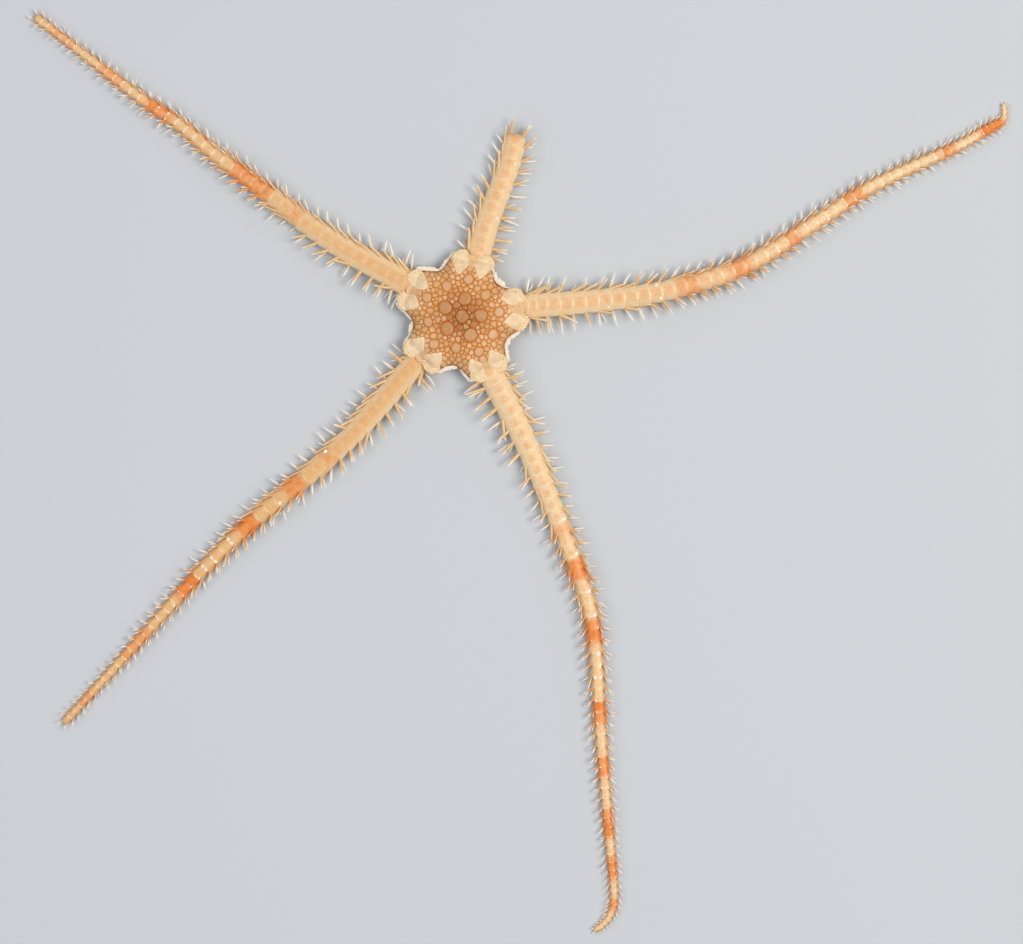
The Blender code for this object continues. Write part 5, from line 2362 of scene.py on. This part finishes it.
@dataclass(frozen=True)
class SkinFinish(ArmFinish):
    """Soft skin between the plates: tan on the arms, orange-brown on the disc and darkest in its middle,
    partly painted shade in the grooves.

    Attributes:
        groove: What it turns to between the arms' plates, a darker tan that is partly painted shade.
        disc_middle_tone_and_shade: The middle of the disc, darkest, partly painted shade in the grooves
            between the scales.
        disc_ground: The disc half way out.
        disc_edge: The disc near its edge.
    """

    # Skin is duller than lime, and its darker colour, partly painted shade, gives the eye the deep grooves
    # that set scales and plates apart
    name: str = "skin_soft"
    roughness: float = 0.5
    relief: float = 0.02
    groove: str = "#cf9452"
    disc_middle_tone_and_shade: str = "#8f4806"
    disc_ground: str = "#c6761c"
    disc_edge: str = "#c98c48"

    def colour(self, tree: Tree, place: Socket, grain: Socket) -> Socket:
        """The arm's markings, turning to the disc's ground inwards.

        Args:
            tree: The material's tree.
            place: Points of the surface.
            grain: The fine grain.

        Returns:
            The colour.
        """
        arm = super().colour(tree, place, grain)
        # A fifth of the way to the groove colour: partly painted shade between the arms' plates
        arm = add_node(tree, MIX, {0: 0.2, 6: arm, 7: self.groove}, **COLOURS)
        away, share = (add_node(tree, MARK, out="Fac", attribute_name=name) for name in ("away", "disc"))
        # Darkest in the disc's middle: partly painted shade in the grooves between its scales
        inner = add_node(tree, RANGE, {0: away, 1: 1.5, 2: 5.0})
        outer = add_node(tree, RANGE, {0: away, 1: 6.0, 2: 9.0})
        disc = add_node(tree, MIX, {0: inner, 6: self.disc_middle_tone_and_shade, 7: self.disc_ground}, **COLOURS)
        disc = add_node(tree, MIX, {0: outer, 6: disc, 7: self.disc_edge}, **COLOURS)
        return add_node(tree, MIX, {0: share, 6: arm, 7: disc}, **COLOURS)


@dataclass(frozen=True)
class ScaleFinish(Finish):
    """Disc scale, a lime plate in thin skin: pinkish tan, grainy, with a warm edge.

    Attributes:
        large_inner: Large scales in the disc's middle.
        large_outer: Large scales near its edge.
        small_inner: Small scales in its middle.
        small_outer: Small scales near its edge.
        pale: The palest scales.
        pink: The clouds on large scales.
        warm: The grain and the scales' edges.
        cloud: The size of the clouds, in millimetres.
    """

    # Rough lime gives the eye a broken sheen, and pigment gathered at the edges outlines each scale
    name: str = "disc_scale"
    roughness: float = 0.45
    grain: float = 0.16
    relief: float = 0.02
    large_inner: str = "#a9713c"
    large_outer: str = "#d6ab7e"
    small_inner: str = "#a96c2e"
    small_outer: str = "#deb07a"
    pale: str = "#f2d8b2"
    pink: str = "#d2a077"
    warm: str = "#cd7e28"
    cloud: float = 0.5

    def colour(self, tree: Tree, place: Socket, grain: Socket) -> Socket:
        """Pinkish on large scales, tan on small ones, darker in the middle of the disc.

        Args:
            tree: The material's tree.
            place: Points of the surface.
            grain: The fine grain.

        Returns:
            The colour.
        """
        size, tone, rim, away = (
            add_node(tree, MARK, out="Fac", attribute_name=name) for name in ("size", "tone", "rim", "away")
        )
        far = add_node(tree, RANGE, {0: away, 1: 2.0, 2: 6.2})
        large, small = (
            add_node(tree, MIX, {0: far, 6: inner, 7: outer}, **COLOURS)
            for inner, outer in ((self.large_inner, self.large_outer), (self.small_inner, self.small_outer))
        )
        clouds = add_node(tree, NOISE, {"Vector": place, "Scale": 1 / (self.cloud * MM), "Detail": 4.0})
        cloudy = add_node(tree, RANGE, {0: clouds, 1: 0.42, 2: 0.66, 3: 0.0, 4: 0.45})
        large = add_node(tree, MIX, {0: cloudy, 6: large, 7: self.pink}, **COLOURS)
        ground = add_node(tree, MIX, {0: size, 6: small, 7: large}, **COLOURS)
        most = add_node(tree, RANGE, {0: size, 3: 0.6, 4: 0.1})
        bright = add_node(tree, RANGE, {0: tone, 1: -0.1, 2: 1.0, 4: most})
        speckle = add_node(tree, RANGE, {0: grain, 1: 0.48, 2: 0.72, 3: 0.0, 4: 0.5})
        most = add_node(tree, RANGE, {0: away, 1: 4.0, 2: 8.5, 3: 0.8, 4: 0.4})
        edge = add_node(tree, RANGE, {0: rim, 1: 0.3, 2: 1.0, 4: most})
        for share, tint in ((bright, self.pale), (speckle, self.warm), (edge, self.warm)):
            ground = add_node(tree, MIX, {0: share, 6: ground, 7: tint}, **COLOURS)
        return ground


@dataclass(frozen=True)
class ShieldFinish(Finish):
    """Radial shield, a smooth bare lime plate: cream, with faint cloudy growth and a pale edge.

    Attributes:
        cream: The ground.
        tan: The clouds.
        edge: The edge.
        cloud: The size of the clouds, in millimetres.
    """

    # Smooth lime gives the eye one wide, even sheen, as unglazed porcelain does
    name: str = "radial_shield"
    roughness: float = 0.46
    relief: float = 0.006
    cream: str = "#efd4ac"
    tan: str = "#e0b88e"
    edge: str = "#f3ddb4"
    cloud: float = 1.4

    def colour(self, tree: Tree, place: Socket, grain: Socket) -> Socket:
        """Cream, clouded with tan, and palest along the edge.

        Args:
            tree: The material's tree.
            place: Points of the surface.
            grain: The fine grain.

        Returns:
            The colour.
        """
        clouds = add_node(tree, NOISE, {"Vector": place, "Scale": 1 / (self.cloud * MM), "Detail": 3.0})
        cloudy = add_node(tree, RANGE, {0: clouds, 1: 0.4, 2: 0.7, 3: 0.0, 4: 0.8})
        ground = add_node(tree, MIX, {0: cloudy, 6: self.cream, 7: self.tan}, **COLOURS)
        rim = add_node(tree, MARK, out="Fac", attribute_name="rim")
        edge = add_node(tree, RANGE, {0: rim, 1: 0.2, 2: 0.9, 3: 0.0, 4: 0.7})
        return add_node(tree, MIX, {0: edge, 6: ground, 7: self.edge}, **COLOURS)


@dataclass(frozen=True)
class RootPlateFinish(Finish):
    """The plates at the arms' roots and round the mouth: lime under yellowish skin.

    Attributes:
        cream: The granules.
        yellow: The swollen plates under them.
        peach: The plates between the shields.
        edge: The grain and the edges.
    """

    # Small lime grains give the eye many little highlights, like beads
    name: str = "root_plate"
    roughness: float = 0.45
    grain: float = 0.2
    relief: float = 0.02
    cream: str = "#fae6c4"
    yellow: str = "#f0d09c"
    peach: str = "#e2b07a"
    edge: str = "#d8a468"

    def colour(self, tree: Tree, place: Socket, grain: Socket) -> Socket:
        """Cream, yellower on the swollen plates and at the edges.

        Args:
            tree: The material's tree.
            place: Points of the surface.
            grain: The fine grain.

        Returns:
            The colour.
        """
        tone, rim, middle = (
            add_node(tree, MARK, out="Fac", attribute_name=name) for name in ("tone", "rim", "middle")
        )
        warm = add_node(tree, RANGE, {0: tone, 1: -1.0, 2: 1.0})
        ground = add_node(tree, MIX, {0: warm, 6: self.cream, 7: self.yellow}, **COLOURS)
        speckle = add_node(tree, RANGE, {0: grain, 1: 0.48, 2: 0.78, 3: 0.0, 4: 0.35})
        edge = add_node(tree, RANGE, {0: rim, 1: 0.5, 2: 1.0, 3: 0.0, 4: 0.7})
        for share, tint in ((speckle, self.edge), (middle, self.peach), (edge, self.edge)):
            ground = add_node(tree, MIX, {0: share, 6: ground, 7: tint}, **COLOURS)
        return ground


@dataclass(frozen=True)
class MarginFinish(Finish):
    """The fold at the disc's edge: thin white skin, a little translucent.

    Attributes:
        white: The ground.
        cream: The patches.
        brown: The line along the scales.
    """

    # Thin wet skin lets light through, which gives the eye a soft white edge with no hard shade
    name: str = "margin_skin"
    roughness: float = 0.4
    subsurface: float = 0.3
    grain: float = 0.3
    white: str = "#f6efe3"
    cream: str = "#dfc39b"
    brown: str = "#a9682a"

    def colour(self, tree: Tree, place: Socket, grain: Socket) -> Socket:
        """White, faintly cream in patches, with a brown line along the scales.

        Args:
            tree: The material's tree.
            place: Points of the surface.
            grain: The fine grain.

        Returns:
            The colour.
        """
        rim, wide = (add_node(tree, MARK, out="Fac", attribute_name=name) for name in ("rim", "wide"))
        patch = add_node(tree, RANGE, {0: grain, 1: 0.45, 2: 0.75})
        ground = add_node(tree, MIX, {0: patch, 6: self.white, 7: self.cream}, **COLOURS)
        near = add_node(tree, RANGE, {0: wide, 1: 0.1, 2: 0.6, 3: -0.4, 4: 0.38})
        line = add_node(tree, MATH, {0: rim, 1: near}, operation="SUBTRACT")
        line = add_node(tree, RANGE, {0: line, 1: 0.0, 2: 0.2})
        return add_node(tree, MIX, {0: line, 6: ground, 7: self.brown}, **COLOURS)


@dataclass(frozen=True)
class SpineFinish(ArmFinish):
    """Arm spine, clear lime: glassy and white at the tip, tan towards the root.

    Attributes:
        glass: The tip.
        root: What the arm's colours turn to at the root.
    """

    # Clear lime gives the eye a thin bright highlight along each spine, and light inside its tip
    name: str = "glassy_spine"
    roughness: float = 0.26
    subsurface: float = 0.2
    relief: float = 0.004
    glass: str = "#efe7d9"
    root: str = "#d8a666"

    def colour(self, tree: Tree, place: Socket, grain: Socket) -> Socket:
        """From tan at the root to white, sooner on the lower spines than on the upper ones.

        Args:
            tree: The material's tree.
            place: Points of the surface.
            grain: The fine grain.

        Returns:
            The colour.
        """
        ground = super().colour(tree, place, grain)
        root = add_node(tree, MIX, {0: 0.55, 6: ground, 7: self.root}, **COLOURS)
        tip, glass = (add_node(tree, MARK, out="Fac", attribute_name=name) for name in ("tip", "glass"))
        start = add_node(tree, RANGE, {0: glass, 3: 0.72, 4: -0.05})
        past = add_node(tree, MATH, {0: tip, 1: start}, operation="SUBTRACT")
        white = add_node(tree, RANGE, {0: past, 1: 0.0, 2: 0.45})
        return add_node(tree, MIX, {0: white, 6: root, 7: self.glass}, **COLOURS)


# The studio


@dataclass
class Studio:
    """The pale floor, the soft lights and the camera, straight above as in the photograph.

    Attributes:
        distance: From the animal to the camera.
        floor_side: The side of the floor.
        lights: Name, place, side of its square, power in watts and colour of each light.
    """

    distance: float = 0.9
    floor_side: float = 8.0
    lights: tuple = (
        ("key", (0.5, 0.02, 0.76), 0.45, 5.3, "#fff9f0"),
        ("fill", (-0.55, -0.12, 0.68), 0.7, 2.9, "#f6f8ff"),
        ("back", (0.1, 0.8, 0.5), 0.5, 0.9, "#ffffff"),
    )

    def make_floor(self) -> None:
        """Lays the plain floor."""
        deselect()
        bpy.ops.mesh.primitive_plane_add(size=self.floor_side, location=(0, 0, 0))
        floor = bpy.context.object
        floor.name = "floor"
        # Matt paper gives the eye soft shadows and no reflection
        material = bpy.data.materials.new("floor_paper")
        material.use_nodes = True
        surface = material.node_tree.nodes["Principled BSDF"]
        surface.inputs["Base Color"].default_value = linear("#c6cacf")
        surface.inputs["Roughness"].default_value = 0.8
        floor.data.materials.append(material)

    def make_light(self, name: str, place: tuple, size: float, power: float, colour: str) -> None:
        """Hangs one soft light that faces the animal.

        Args:
            name: Its name.
            place: Where it hangs.
            size: The side of its square.
            power: In watts.
            colour: Its colour.
        """
        data = bpy.data.lights.new(name, "AREA")
        data.size = size
        data.energy = power
        data.color = linear(colour)[:3]
        lamp = bpy.data.objects.new(name, data)
        bpy.context.scene.collection.objects.link(lamp)
        lamp.location = place
        lamp.rotation_mode = "QUATERNION"
        lamp.rotation_quaternion = Vector(place).to_track_quat("Z", "Y")

    def make_camera(self) -> None:
        """Sets the camera over the photograph's middle, with its framing."""
        middle = (np.array(PHOTO_SIZE) / 2 - DISC_PIXEL) * (PIXEL, -PIXEL) + DISC_PLACE
        data = bpy.data.cameras.new("camera")
        data.sensor_width = 36.0
        data.lens = data.sensor_width * self.distance / (PHOTO_SIZE[0] * PIXEL)
        data.clip_start = 0.01
        camera = bpy.data.objects.new("camera", data)
        bpy.context.scene.collection.objects.link(camera)
        camera.location = (middle[0], middle[1], self.distance + 1.5 * MM)
        bpy.context.scene.camera = camera

    def make(self) -> None:
        """Sets the whole studio up."""
        self.make_floor()
        for light in self.lights:
            self.make_light(*light)
        world = bpy.data.worlds.new("studio")
        world.use_nodes = True
        ground = world.node_tree.nodes["Background"]
        ground.inputs["Color"].default_value = linear("#eef1f5")
        ground.inputs["Strength"].default_value = 0.38
        bpy.context.scene.world = world
        bpy.context.scene.view_settings.view_transform = "Standard"
        self.make_camera()


def main() -> None:
    """Builds the animal from its skin outwards, and the studio round it."""
    logging.basicConfig(level=logging.INFO, format="%(message)s")
    Studio().make()
    Skin().make()
    shields = RadialShields()
    DiscScales().make(shields)
    shields.make()
    RootPlates().make(shields)
    Margin().make()
    mouth = Mouth()
    mouth.make_jaws()
    mouth.make_papillae()
    mouth.make_scales()
    for arm in ARMS:
        ArmPlates(arm).make()
        Spines(arm).make()


if __name__ == "__main__":
    main()
